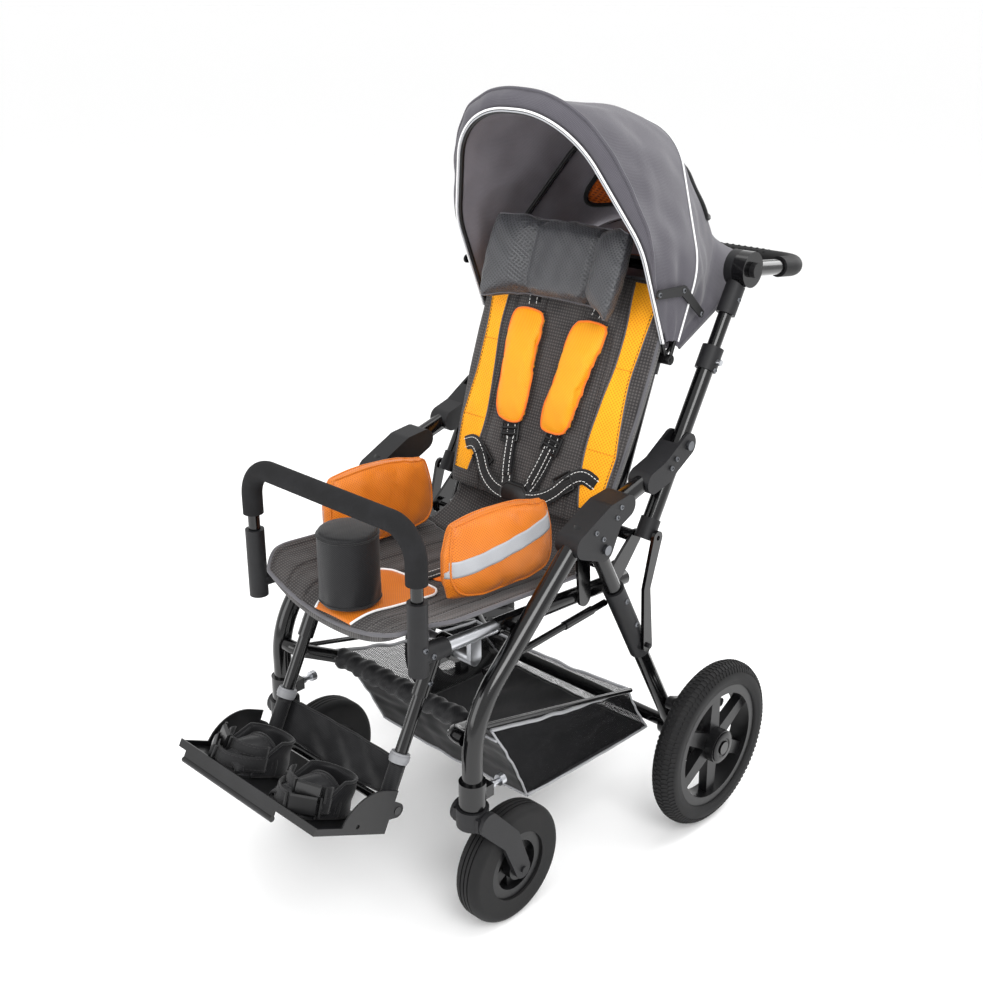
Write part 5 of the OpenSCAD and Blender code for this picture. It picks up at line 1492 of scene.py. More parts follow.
@dataclass
class Hood:
    """Folding hood: gores of plain-woven cloth, a turned-up visor, white piping and a net window."""

    hoop: float = 6.0
    cloth: float = 2.0
    # Front, middle and rear hoops, and the hem of the flap behind
    stops: tuple[float, ...] = (0, 0.56, 1.0, 1.3)
    halves: tuple[float, ...] = (184, 190.6, 177.4, 184)
    lengths: tuple[float, ...] = (392, 357, 284, 285)
    angles: tuple[float, ...] = (22.5, -22.0, -54.0, -64.0)
    shapes: tuple[tuple[float, float, float], ...] = (
        (197, 85, 135), (211, 112, 128), (172, 70, 98), (150, 30, 70))
    # Shares of the fold that the rear, middle and front hoops turn by
    folds: tuple[float, ...] = (0.0, 0.4, 1.0)
    foot: float = 30

    def bay(self, t: float) -> tuple[int, float]:
        """Finds the bay that a place lies in, and the share of that bay in front of it."""
        i = int(np.clip(np.searchsorted(self.stops, t, side="right") - 1, 0, 2))
        return i, (t - self.stops[i]) / (self.stops[i + 1] - self.stops[i])

    def mixed(self, t: float, values: Sequence[Any]) -> Any:
        """Gives a value between the hoops and the hem."""
        i, share = self.bay(t)
        rows = np.asarray(values, float)
        return rows[i] * (1 - share) + rows[i + 1] * share

    def half_arch(self, t: float, gap: float) -> Grid:
        """Gives half an arch from its foot to the crown as [sideways, height], evenly spaced."""
        half = float(self.mixed(t, self.halves))
        length = float(self.mixed(t, self.lengths))
        drop, inset, bend = self.mixed(t, self.shapes)
        turn = math.atan2(inset, drop)
        low = length - drop - bend * math.tan(turn / 2)
        top_x = half - inset - bend * math.tan((math.pi / 2 - turn) / 2)
        r = bend + gap
        first = np.linspace(0, turn, 16)
        last = np.linspace(turn, math.pi / 2, 26)[1:]
        points = np.vstack([
            np.stack([np.full(14, half + gap), np.linspace(self.foot, low, 15)[:-1]], 1),
            np.stack([half - bend + r * np.cos(first), low + r * np.sin(first)], 1),
            np.stack([top_x + r * np.cos(last), length - bend + r * np.sin(last)], 1), [[0, length + gap]]])
        marks = np.concatenate([[0], np.cumsum(np.linalg.norm(np.diff(points, axis=0), axis=1))])
        even = np.linspace(0, marks[-1], 49)
        return np.stack([np.interp(even, marks, points[:, k]) for k in range(2)], axis=1)

    def arch(self, t: float, out: float, back: float = 0.0, flare: float = 0.0) -> Grid:
        """Gives a whole arch of the hood.

        Args:
            t: 0 at the front hoop, 1 at the rear one, more on the flap.
            out: distance outside the hoops.
            back: degrees that the upper part leans back.
            flare: how far the upper part stands out.

        Returns:
            Points from the left foot over the crown to the right foot.
        """
        gap = self.hoop / 2 + 0.3 + out
        near = self.half_arch(t, gap)
        if flare:
            far = self.half_arch(t, gap + flare)
            near = near + (far - near) * np.clip((near[:, 1:] - 110) / 160, 0, 1)
        sag = 8 * math.sin(math.pi * self.bay(t)[1])
        height = near[:, 1] - sag * np.maximum(0, near[:, 1] - self.foot) / self.lengths[0]
        lean_deg = float(self.mixed(t, self.angles)) - back * np.clip((near[:, 1] - 90) / 160, 0, 1)
        y = HOOD_PIN[0] - height * np.sin(np.radians(lean_deg))
        z = HOOD_PIN[1] + height * np.cos(np.radians(lean_deg))
        right = np.stack([near[:, 0], y, z], axis=1)
        return np.vstack([right, (right * np.array([-1, 1, 1]))[-2::-1]])

    def creased(self, t: Grid, out: float) -> Grid:
        """Gives a grid of the cloth with its slack creases.

        Args:
            t: places from front to rear.
            out: distance outside the hoops.

        Returns:
            Rows by columns by 3.
        """
        rows = np.array([self.arch(float(v), out) for v in t])
        across = np.linspace(-1, 1, rows.shape[1])
        middle = np.stack([np.zeros(rows.shape[1]), rows[0, :, 1], rows[0, :, 2]], 1).mean(0)
        outward = unit_rows(rows - middle)
        share = np.array([self.bay(float(v))[1] for v in t])
        loose = np.sin(math.pi * share)[:, None] * (1 - 0.2 * np.abs(across[None]) ** 2)
        s, r = across[None], t[:, None]
        wave = (2.4 * np.sin(s * 11 + r * 7) + 1.7 * np.sin(s * 23 - r * 15)
                + 1.2 * np.sin(s * 5 + r * 31) + 0.9 * np.sin(s * 41 + r * 19))
        return rows - outward * ((wave + 2.0) * loose)[..., None]

    def bend(self, piece: bpy.types.Object, t: float) -> None:
        """Works out a gore's share of the hood's fold, without applying it, and bakes the gore's transform.

        Args:
            piece: the gore.
            t: the gore's middle.
        """
        angle = float(self.mixed(t, self.angles))
        share = float(np.interp(angle, self.angles[2::-1], self.folds))
        place = 0.5 - math.sin(math.asin(1 - 2 * share) / 3)
        rate = 6 * place * (1 - place)
        reach = max(rate, 0.35) * math.radians(self.angles[0] - self.angles[2])
        reach *= float(self.mixed(t, self.lengths))
        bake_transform(piece)

    def gores(self) -> None:
        """Builds the cloth in gores, and the flap behind."""
        edges = [0, 0.14, 0.28, 0.42, 0.56, 0.706, 0.853, 1.0, 1.3]
        steps = 8
        bays = [np.linspace(a, b, steps + 1)[:-1] for a, b in zip(edges, edges[1:])]
        t = np.concatenate(bays + [edges[-1:]])
        outer, inner = self.creased(t, self.cloth), self.creased(t, 0.2)
        out_way, in_way = grid_normals(outer), grid_normals(inner)
        for number, (a, b) in enumerate(zip(edges, edges[1:])):
            rows = slice(number * steps, (number + 1) * steps + 1)
            name = f"hood_gore_{number + 1}" if b <= 1 else "hood_rear_flap"
            built = Built().put(shell(outer[rows], inner[rows]), Finish.HOOD)
            # The inner faces take the lighter copy of the cloth, which is painted light on the hood's shaded
            # inside
            built.finishes.append(Finish.LINING)
            quads = steps * (outer.shape[1] - 1)
            built.slots[quads:2 * quads] = [1] * quads
            gore = built.make(name)
            self.shade(gore, np.vstack([out_way[rows].reshape(-1, 3), -in_way[rows].reshape(-1, 3)]))
            if b <= 1:
                self.bend(gore, (a + b) / 2)
                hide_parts("hood_cover")
            else:
                ride(gore, "backrest", "hood_cloth")
            declare(gore, outer[rows])
            LOG.info("%s made", gore.name)

    def curtain(self) -> None:
        """Builds the lining that closes the hood from the rear hoop down to the back."""
        top = self.arch(1.0, -8.0)
        s = np.linspace(-1, 1, len(top))
        run = 350 + 86 * np.clip((1 - np.abs(s)) / 0.45, 0, 1) ** 0.7
        low = BACK.at(top[:, 0] * 0.955, run, 12.2)
        share = np.linspace(0, 1, 21)[:, None, None]
        slack = np.sin(math.pi * share) * (1 + 0.3 * np.sin(s * 29)[None, :, None]
                                           + 0.3 * np.sin(s * 17 + 4 * share[..., 0])[..., None])
        grid = top[None] * (1 - share) + low[None] * share + np.array([0, 5.0, -7.0]) * slack
        # The curtain takes the same lighter copy of the cloth, which is painted light in the shaded hood
        lining = Built().put(shell(grid, grid + np.array([0, 1.0, -1.4])), Finish.LINING)
        piece = ride(lining.make("hood_rear_lining"), "backrest", "hood_cloth")
        declare(piece, grid)

    @staticmethod
    def shade(piece: bpy.types.Object, normals: Grid) -> None:
        """Shades a gore with the whole hood's normals, so that no crease shows where gores meet.

        Args:
            piece: the gore.
            normals: one for each vertex; the outer half first.
        """
        mesh = piece.data
        half = len(normals) // 2
        corners = []
        for face in mesh.polygons:
            sides = {index < half for index in face.vertices}
            for index in face.vertices:
                way = Vector(normals[index]) if len(sides) == 1 else face.normal
                corners.append(-way if len(sides) == 1 and way.dot(face.normal) < 0 else way)
        mesh.normals_split_custom_set([tuple(way) for way in corners])

    def visor(self) -> None:
        """Builds the turned-up visor with its rolled edge and the white piping at the front hoop."""
        outs = [(1.0, 0.0, 0.0), (5.0, 0.2, 4.0), (4.5, 0.6, 8.0), (4.0, 1.0, 12.0), (3.0, 2.0, 17.0),
                (2.0, 3.0, 21.0)]
        outer = np.array([self.arch(0.0, o, back, flare) for o, back, flare in outs])
        inner = np.array([self.arch(0.004, o - 1.6, back + 0.5, flare) for o, back, flare in outs])
        across = np.linspace(-1, 1, outer.shape[1])
        wave = 1.5 * np.sin(across * 33) + 1.2 * np.sin(across * 57 + 1) + 1.0 * np.sin(across * 14)
        for row, share in enumerate((0, 0.3, 0.8, 1.0, 1.0, 0.7)):
            shift = np.outer(wave * share * (np.abs(across) < 0.9), [0.0, -1.0, 0.3])
            outer[row] += shift
            inner[row] += shift
        piece = Built().put(shell(outer, inner), Finish.HOOD).make("hood_visor")
        ride(piece, "hood_front", "hood_cloth")
        declare(piece, outer)
        edge = outer[-1]
        roll = Built().cord(edge[edge[:, 2] > HOOD_PIN[1] + 40], 2.6, Finish.HOOD, rounds=1)
        ride(roll.make("hood_visor_roll"), "hood_front", "hood_cloth")
        piping = Built()
        line = self.arch(0.0, 2.0) + np.array([0, -4.2, 0])
        piping.cord(line, 1.7, Finish.WHITE_PIPING, rounds=1)
        second = self.arch(0.0, -1.6) + np.array([0, -5.4, -0.5])
        piping.cord(second, 1.2, Finish.REFLECTOR, rounds=1)
        ride(piping.make("hood_front_piping"), "hood_front", "hood_cloth")

    def seams(self) -> None:
        """Builds the piping at the middle hoop, the bound seams inside and the hem behind."""
        top = self.arch(self.stops[1], self.cloth + 1.2)
        middle = Built().cord(top, 1.5, Finish.WHITE_PIPING, rounds=1)
        for shift in (-4, 4):
            lining = self.arch(self.stops[1], -7.5) + np.array([0, shift, 0])
            middle.cord(lining, 1.4, Finish.DARK_BINDING, rounds=1, sides=6)
        ride(middle.make("hood_middle_piping"), "hood_middle", "hood_cloth")
        hem = Built().cord(self.arch(self.stops[3], self.cloth * 0.5), 2.4, Finish.BINDING, rounds=1)
        ride(hem.make("hood_hem"), "backrest", "hood_cloth")

    def window(self) -> None:
        """Builds the orange net window across the rear bay, bound on both faces."""
        angles = np.linspace(0, 2 * math.pi, 72, endpoint=False)
        t_mid, t_half, reach = 0.835, 0.12, 0.37
        built = Built()
        shares = np.linspace(0.02, 1.0, 14)
        for out in (self.cloth + 2.4, -1.4):
            grid = self.creased(np.linspace(0.7, 1.0, 31), out)
            cols = np.linspace(-1, 1, grid.shape[1])

            def spot(t: Grid, s: Grid) -> Grid:
                """Gives points on the creased cloth from places along and across the hood."""
                r = np.clip((t - 0.7) / 0.3 * 30, 0, 29.999)
                c = np.clip((s + 1) / 2 * (len(cols) - 1), 0, len(cols) - 1.001)
                i, j = r.astype(int), c.astype(int)
                f, g = (r - i)[:, None], (c - j)[:, None]
                return (grid[i, j] * (1 - f) * (1 - g) + grid[i + 1, j] * f * (1 - g)
                        + grid[i, j + 1] * (1 - f) * g + grid[i + 1, j + 1] * f * g)

            wide = np.sign(np.cos(angles)) * np.abs(np.cos(angles)) ** 0.7
            rings = [spot(t_mid + t_half * k * np.sin(angles), reach * k * wide) for k in shares]
            under = [ring + np.array([0, -0.2, -0.5]) for ring in rings[::-1]]
            built.put(stacked(rings + under, (0, 2)), Finish.VENT)
            built.loop(rings[-1], 4.2, Finish.DARK_BINDING, sides=8)
        piece = built.make("hood_window")
        self.bend(piece, t_mid)
        LOG.info("%s made", piece.name)

    def build(self) -> None:
        """Builds the whole hood."""
        self.gores()
        self.curtain()
        self.visor()
        self.seams()
        self.window()


@dataclass
class Basket:
    """Shopping bag: sagging net sides and rear, a cloth front and floor, grey piping and a padded roll."""

    half: float = 177
    low_half: float = 168
    front_top: tuple[float, float] = (-410, 302)
    front_low: tuple[float, float] = (-318, 138)
    rear_low: tuple[float, float] = (-6, 123)
    rear_top: tuple[float, float] = (-78, 232)
    tube: tuple[float, float] = (-422, 305)
    wall: float = 1.6

    @staticmethod
    def edge(a: Grid, b: Grid, sag: Grid, count: int = 33) -> Grid:
        """Gives a slack edge between two corners.

        Args:
            a: first corner.
            b: second corner.
            sag: how far its middle hangs.
            count: number of points.

        Returns:
            The points.
        """
        s = np.linspace(0, 1, count)[:, None]
        ripple = 0.18 * np.sin(s * 23 + a[0]) + 0.12 * np.sin(s * 41)
        return a * (1 - s) + b * s + sag * (np.sin(math.pi * s) * (1 + ripple))

    def build(self) -> None:
        """Builds the panels, the piping and the roll."""
        corner = {(s, name): np.array([s * half, *spot]) for s in (1, -1) for name, half, spot in (
            ("ft", self.half, self.front_top), ("fl", self.low_half, self.front_low),
            ("rl", self.low_half, self.rear_low), ("rt", self.half, self.rear_top))}
        net, piping = Built(), Built()

        def panel(top: Grid, low: Grid, near: Grid, far: Grid, bow: Sequence[float], finish: Finish) -> None:
            """Adds a slack panel between four edges."""
            grid = coons(top, low, near, far)
            u = np.linspace(0, 1, grid.shape[1])[None, :, None]
            v = np.linspace(0, 1, grid.shape[0])[:, None, None]
            slack = np.sin(math.pi * u) * np.sin(math.pi * v)
            folds = (0.3 * np.sin(13 * u + 6 * v) + 0.22 * np.sin(27 * u - 9 * v)
                     + 0.2 * np.sin(8 * v + 19 * u * v))
            grid = grid + np.array(bow) * slack * (1 + folds)
            net.put(shell(grid, grid + unit_rows(np.array([bow], float))[0] * self.wall), finish)

        down = np.array([0.0, 0.0, -1.0])
        across = {name: self.edge(corner[-1, name], corner[1, name], down * sag)
                  for name, sag in (("ft", 0), ("fl", 6), ("rl", 4), ("rt", 9))}
        for s in (1, -1):
            top = self.edge(corner[s, "ft"], corner[s, "rt"], down * 9 - np.array([s * 4.0, 0, 0]))
            low = self.edge(corner[s, "fl"], corner[s, "rl"], down * 5 - np.array([s * 3.0, 0, 0]))
            near = self.edge(corner[s, "ft"], corner[s, "fl"], np.array([0, 5.0, 0]))
            far = self.edge(corner[s, "rt"], corner[s, "rl"], np.array([0, -4.0, 0]))
            panel(top, low, near, far, (-s * 10.0, 0, 0), Finish.BLACK_NET)
            for line, radius in ((top, 2.8), (low, 2.8), (near, 1.8), (far, 1.8)):
                piping.cord(line, radius, Finish.GREY_PIPING, 7, 1, 6)
        pairs = (("front", "ft", "fl", 5.0), ("rear", "rt", "rl", -4.0), ("floor", "fl", "rl", 0.0))
        ends = {name: [self.edge(corner[s, a], corner[s, b], np.array([0, k, 0])) for s in (-1, 1)]
                for name, a, b, k in pairs}
        panel(across["ft"], across["fl"], *ends["front"], (0, 9.0, 0), Finish.NYLON_CLOTH)
        panel(across["rt"], across["rl"], *ends["rear"], (0, -8.0, 0), Finish.BLACK_NET)
        panel(across["fl"], across["rl"], *ends["floor"], (0, 0, 7.0), Finish.NYLON_CLOTH)
        piece = net.make("basket_net")
        ride(piece, "chassis", "black_mesh", "basket")
        seam = coons(across["ft"], across["fl"], *ends["front"])[5] + np.array([0, -2.4, 0])
        for line in (across["fl"], across["rt"], across["rl"], seam):
            piping.cord(line, 2.6, Finish.GREY_PIPING, 7, 1, 6)
        ride(piping.make("basket_piping"), "chassis", "black_mesh")
        self.roll(across["ft"])

    def roll(self, line: Grid) -> None:
        """Builds the padded roll round the frame's cross tube.

        Args:
            line: the bag's front top edge.
        """
        ends = line[[0, -1]] * np.array([0.83, 0, 0]) + np.array([0, *self.tube])
        path = even_path(ends, 4)
        verts, faces, uv = swept(path, round_section(16, 16))
        out = verts - np.repeat(path, 16, axis=0)
        turn = np.tile(np.arange(16) * math.pi / 8, len(path))
        x = verts[:, 0]
        lump = (1 + 0.08 * np.sin(x * 0.16 + turn) + 0.07 * np.sin(x * 0.31 - 2 * turn)
                + 0.05 * np.sin(x * 0.07))
        soft = Built().put((np.repeat(path, 16, axis=0) + out * lump[:, None], faces, uv), Finish.NYLON_CLOTH)
        piece = soft.make("basket_roll")
        ride(piece, "chassis", "black_cloth")


@dataclass
class FootSet:
    """Calf panel, footplate sandals with straps and buckles."""

    pin: tuple[float, float] = (-580.433, 239.325)
    tilt: float = -26.7
    deck: float = -31.7
    sandal_x: float = 72.2
    tube_x: float = 129.5

    def on_plate(self, points: Sequence[Sequence[float]]) -> Grid:
        """Turns points of the footplate's own frame into the buggy's."""
        p = np.array(points, float)
        c, s = math.cos(math.radians(self.tilt)), math.sin(math.radians(self.tilt))
        return np.stack([p[..., 0], self.pin[0] + p[..., 1] * c - p[..., 2] * s,
                         self.pin[1] + p[..., 1] * s + p[..., 2] * c], axis=-1)

    def calf(self) -> None:
        """Builds the slack calf panel and the sleeves that hold it on the foot tubes."""
        t, u = np.meshgrid(np.linspace(0, 1, 33), np.linspace(-1, 1, 81), indexing="ij")
        middle = 1 - u * u
        slack = 16 * middle * (0.55 + 0.45 * t)
        fold = (2.6 * np.sin(u * 7 + t * 3) * np.sin(math.pi * t) + 1.8 * np.sin(u * 13 - t * 6)
                + 1.4 * np.sin(u * 22 + t * 9) * t) * middle
        low, high = 178, 226
        run = low + (high - low) * t + 16 * middle * t

        def face(extra: float) -> Grid:
            """Gives one face of the panel, set back by a distance."""
            return FOOT.at(u * 135.5, run, -9.8 - slack - fold * 0.8 - extra)

        front = face(0.4)
        piece = Built().put(shell(front, face(2.6)), Finish.NYLON_CLOTH).make("calf_panel")
        ride(piece, "foot_frame", "black_cloth", "calf_strap")
        declare(piece, front)
        edge = Built()
        for row in (front[0], front[-1]):
            edge.cord(row, 1.8, Finish.DARK_BINDING, rounds=1, sides=6)
        sleeve = FOOT.at(np.full(12, self.tube_x), np.linspace(low, high + 1, 12), 0)
        edge.put(swept(sleeve, round_section(11.4, 18)), Finish.NYLON_CLOTH, mirror=True)
        ride(edge.make("calf_sleeves"), "foot_frame", "black_cloth")
        rings = Built()
        for low, high, radius in ((161.6, 176.4, 14.2), (165, 173, 15.2)):
            path = FOOT.at(np.full(5, self.tube_x), np.linspace(low, high, 5), 0)
            rings.put(swept(path, round_section(radius, 24)), Finish.GREY_POLY, mirror=True)
        ride(sharpen(rings.make("foot_tube_rings")), "foot_frame", "grey_plastic")

    def sandal(self, built: Built, hard: Built, sign: int) -> list[Grid]:
        """Builds one sandal: sole, heel cup, soft upper, toe band and buckle.

        Args:
            built: gets the cloth.
            hard: gets the buckles.
            sign: 1 for the left foot, -1 for the right.

        Returns:
            Stitch rows.
        """
        x0, z0 = sign * self.sandal_x, self.deck
        heel, toe, half = -64.0, -116.0, 41.5
        angles = np.linspace(0, math.pi, 29)
        bow = np.stack([x0 + half * np.cos(angles), heel + half * np.sin(angles), np.full(29, z0)], 1)
        cup = even_path(np.vstack([[[x0 + half, toe + 2, z0]], bow, [[x0 - half, toe + 2, z0]]]), 4)
        rise = 52 * np.clip((cup[:, 1] - toe + 14) / 60, 0.35, 1)
        rows, outer = [], []
        centre = np.array([x0, heel])
        for level in np.linspace(0, 1, 11):
            lean_in = 3.5 * level ** 2 + 1.2 * np.sin(level * 9 + cup[:, 0] * 0.1)
            flat = cup[:, :2] - unit_rows(cup[:, :2] - centre) * lean_in[:, None]
            rows.append(np.stack([flat[:, 0], flat[:, 1], z0 + 1 + rise * level], 1))
            thick = 4.5 if level < 0.98 else 3.0
            push = cup[:, :2] - unit_rows(cup[:, :2] - centre) * (lean_in + thick)[:, None]
            outer.append(np.stack([push[:, 0], push[:, 1], z0 + 1 + rise * level], 1))
        built.put(shell(self.on_plate(rows), self.on_plate(outer)), Finish.NYLON_CLOTH)
        built.cord(self.on_plate(rows[-1]), 2.4, Finish.DARK_BINDING, 5, 1, 6)
        u, v = np.meshgrid(np.linspace(-1, 1, 21), np.linspace(0, 1, 15), indexing="ij")
        sole_y = toe - 24 + (heel + 40 - toe + 24) * v
        sole_x = x0 + u * 40 * np.sqrt(np.clip(1 - (2 * v - 1) ** 6 * 0.6, 0.1, 1))
        sole = np.stack([sole_x, sole_y, z0 + 5.0 - 0.6 * u ** 2], -1)
        built.put(shell(self.on_plate(sole), self.on_plate(sole - np.array([0, 0, 4.6]))), Finish.NYLON_CLOTH)
        v, u = np.meshgrid(np.linspace(0, 1, 19), np.linspace(0, math.pi, 33), indexing="ij")

        def upper(inset: float) -> Grid:
            """Gives one face of the sandal's soft upper."""
            wide = (half - inset) * (0.8 + 0.2 * np.sqrt(v))
            high = (14 + 32 * v ** 0.75 - inset) * np.sin(u) ** 0.7
            ripple = 1.2 * np.sin(u * 9 + v * 7) * np.sin(math.pi * v)
            return np.stack([x0 + wide * np.cos(u), toe - 20 + 66 * v, z0 + 4 + high + ripple], -1)

        built.put(shell(self.on_plate(upper(0)), self.on_plate(upper(3.4))), Finish.NYLON_CLOTH)
        built.cord(self.on_plate(upper(0)[-1]), 2.2, Finish.DARK_BINDING, 5, 1, 6)
        stitches = [self.on_plate(upper(-0.5)[row]) for row in (3, 16)]
        for lift, ends, width in ((15, 30, 22), (34, 46, 18)):
            arc = np.linspace(-0.1, math.pi + 0.1, 33)
            reach = 20 if lift < 20 else 2
            path = np.stack([x0 + (half + 2.5 - lift * 0.1) * np.cos(arc),
                             toe + 20 - (22 + reach) * np.sin(arc),
                             np.full(33, z0 + lift) + (ends - lift) * np.cos(arc) ** 2 * 0.4], 1)
            line = smooth_path(self.on_plate(path), 4, 2)
            up = unit_rows(line - self.on_plate([[x0, toe + 24, z0 + lift]])[0])
            built.put(swept(line, flat_section(width, 2.2), normals=up), Finish.WEBBING)
            side = np.cross(tangents(line), up)
            stitches += [line + side * k * width * 0.36 + up * 2.5 for k in (-1, 1)]
            middle = len(line) * (2 if sign > 0 else 5) // 7
            here, way = line[middle], tangents(line)[middle]
            body = even_path([here + way * a + up[middle] * 2.2 for a in (-19, -6, 6, 19)], 6)
            level = np.tile(up[middle], (len(body), 1))
            hard.put(swept(body, flat_section(width + 5, 7), normals=level), Finish.POLY)
            for a in (-24, 24):
                bar = [here + way * a + side[middle] * b + up[middle] * 3.5
                       for b in (-width / 2 - 3, width / 2 + 3)]
                hard.cord(bar, 2.6, Finish.POLY, 5, 0, 6)
        return stitches

    def build(self) -> None:
        """Builds the calf panel and both sandals."""
        self.calf()
        cloth, hard = Built(), Built()
        rows = self.sandal(cloth, hard, 1) + self.sandal(cloth, hard, -1)
        ride(cloth.make("foot_sandals"), "foot_deck", "black_cloth", "foot_straps")
        ride(sharpen(hard.make("sandal_buckles")), "foot_deck", "black_plastic")
        threads = Repeats.stitches("sandal_stitches", rows, Finish.DARK_THREAD, 6, 4, 0.5)
        ride(threads, "foot_deck", "black_cloth")


@dataclass
class Tyres:
    """Rear tyres with zigzag tread blocks, and hub caps."""

    wheel_x: float = 294
    axle: tuple[float, float] = (0, 145)
    outer: float = 145
    width: float = 46
    # Radius of the wheel's rim, where the tyre sits
    seat: float = 108.3

    def tyre(self, sign: int, name: str) -> None:
        """Builds a rear tyre and its tread.

        Args:
            sign: 1 for the left wheel, -1 for the right.
            name: the side's name.
        """
        half = self.width / 2
        ring = self.outer - half
        around = np.linspace(0, 2 * math.pi, 145)[:-1]
        section = []
        for a in np.linspace(-112, 112, 33):
            r, x = ring + (half - 1.8) * math.cos(math.radians(a)), (half - 1.2) * math.sin(math.radians(a))
            groove = 1.3 if abs(abs(a) - 62) < 5 else 0
            section.append([max(r - groove, self.seat), x])
        section += [[self.seat, 20], [self.seat, -20]]
        profile = np.array(section)
        count = len(profile)
        verts = np.stack([np.broadcast_to(sign * self.wheel_x + profile[None, :, 1], (len(around), count)),
                          self.axle[0] + profile[None, :, 0] * np.cos(around)[:, None],
                          self.axle[1] + profile[None, :, 0] * np.sin(around)[:, None]], -1)
        uv = np.stack(np.broadcast_arrays(np.arange(count)[None] * 3.0, (around * self.outer)[:, None]), -1)
        part = verts.reshape(-1, 3), ring_faces(len(around), count, True), uv.reshape(-1, 2)
        tyre = Built().put(part, Finish.TYRE).make(f"rear_tyre_body_{name}")
        ride(tyre, f"back_wheel_{name}", "tyre", f"rear_tyre_{name}")
        self.tread(sign, name, ring, half)

    def tread(self, sign: int, name: str, ring: float, half: float) -> None:
        """Sets the tread blocks round a tyre.

        Args:
            sign: the side.
            name: the side's name.
            ring: radius of the tyre's middle line.
            half: half the tyre's width.
        """
        low = np.array([[-5.4, -2.1], [0, -0.9], [5.4, -2.1], [5.4, 2.1], [0, 3.3], [-5.4, 2.1]])
        block = stacked([np.c_[low, np.full(6, -1.5)], np.c_[low * 0.88, np.full(6, 0.9)]])
        stud = Built().put(block, Finish.TYRE).make(f"tread_block_{name}")
        blocks, middle = 100, half - 1.6
        spots, facing, along = [], [], []
        for lane, tilt in enumerate((-56, -28, 0, 28, 56)):
            for k in range(blocks):
                a = (k + 0.5 * (lane % 2)) * 2 * math.pi / blocks
                c, s = math.cos(math.radians(tilt)), math.sin(math.radians(tilt))
                out = np.array([s, c * math.cos(a), c * math.sin(a)])
                r = ring + middle * c
                spots.append([sign * self.wheel_x + middle * s, self.axle[0] + r * math.cos(a),
                              self.axle[1] + r * math.sin(a)])
                facing.append(out)
                along.append([c, -s * math.cos(a), -s * math.sin(a)])
        piece = Repeats.studs(f"rear_tread_{name}", spots, facing, along, stud, Finish.TYRE)
        bpy.data.objects.remove(stud)
        ride(piece, f"back_wheel_{name}", "tyre")

    def cap(self, sign: int, name: str) -> None:
        """Builds a wheel's hub cap with a stepped face."""
        steps = [(26, 24.5), (26, 27), (24, 28.4), (17, 28.6), (16, 27.2), (12.6, 27.2)]
        angles = np.linspace(0, 2 * math.pi, 49)[:-1]
        rows = np.array([[[sign * (self.wheel_x + x), self.axle[0] + r * math.cos(a),
                           self.axle[1] + r * math.sin(a)] for a in angles] for r, x in steps])
        inner = rows[::-1] - np.array([sign * 1.2, 0, 0])
        loop = np.vstack([rows, inner])
        flat = loop.reshape(-1, 3)
        cap = Built().put((flat, ring_faces(len(loop), len(angles), True), flat[:, 1:]), Finish.POLY)
        ride(sharpen(cap.make(f"hub_cap_{name}")), f"back_wheel_{name}", "black_plastic")

    def build(self) -> None:
        """Builds both rear tyres and their hub caps."""
        for sign, name in ((1, "left"), (-1, "right")):
            self.tyre(sign, name)
            self.cap(sign, name)


@dataclass
class Hardware:
    """Screw heads on the brackets and the ribs of the push grip."""

    side: float = 217

    def screw(self) -> bpy.types.Object:
        """Builds a domed screw head with a hexagon socket, 1 mm to the unit."""
        steps = ((4.2, -0.6), (4.2, 0.6), (3.6, 1.7), (2.0, 2.2), (1.9, 0.7))
        return Built().put(turned(steps, 12), Finish.DULL_STEEL).make("screw_head")

    def screws(self) -> None:
        """Sets screws on each body's brackets."""
        stud = self.screw()
        outer = self.side + 21
        sets = {
            "chassis": [(outer, -253, 588), (outer, -205, 598), (outer, -196, 612), (outer, -236, 573),
                        (outer, -74, 640), (outer, -62, 652)],
            "push_frame": [(self.side + 17.7, 30.6, 772.5)],
            "rear_frame": [(self.side + 17.2, -168, 446), (self.side + 17.2, -140, 396),
                           (self.side + 13.2, -20, 181)],
            "push_risers": [(self.side + 15, 88, 873)],
            "hangers": [(129.5 + 12.6, -497.5, 404)],
            "seat_carriage": [(178 + 14.7, -538, 482.5), (178 + 14.7, -553, 497)],
            "hood_front": [(199.3, -74.9, 902), (199.3, -13.7, 899), (199.3, 36.3, 855)],
        }
        for body, places in sets.items():
            spots = np.array([[s * x, y, z] for x, y, z in places for s in (1, -1)], float)
            facing = np.array([[s, 0, 0] for _ in places for s in (1, -1)], float)
            along = np.tile([0.0, 1.0, 0.0], (len(spots), 1))
            piece = Repeats.studs(f"screws_{body}", spots, facing, along, stud, Finish.DULL_STEEL)
            ride(piece, body, "silver")
        bpy.data.objects.remove(stud)

    def grip_ribs(self) -> None:
        """Sets rows of small raised bumps on the push grip."""
        steps = ((2.6, -0.6), (2.4, 0.5), (1.5, 1.1), (0.4, 1.3))
        stud = Built().put(turned(steps, 8), Finish.GRIP).make("grip_bump")
        spots, facing = [], []
        middle_y, middle_z = 281.2, 899.0
        for turn in range(0, 360, 30):
            out = np.array([0, math.cos(math.radians(turn)), math.sin(math.radians(turn))])
            for k in range(27):
                x = -156 + 12 * k + (6 if turn % 60 else 0)
                spots.append(np.array([x, middle_y, middle_z]) + out * 16.4)
                facing.append(out)
        keep = [i for i, p in enumerate(spots) if abs(p[0]) < 160]
        piece = Repeats.studs("grip_bumps", np.array(spots)[keep], np.array(facing)[keep],
                              np.tile([1.0, 0, 0], (len(keep), 1)), stud, Finish.GRIP)
        bpy.data.objects.remove(stud)
        ride(piece, "push_handle", "grip")

    def build(self) -> None:
        """Builds screws and bumps."""
        self.screws()
        self.grip_ribs()


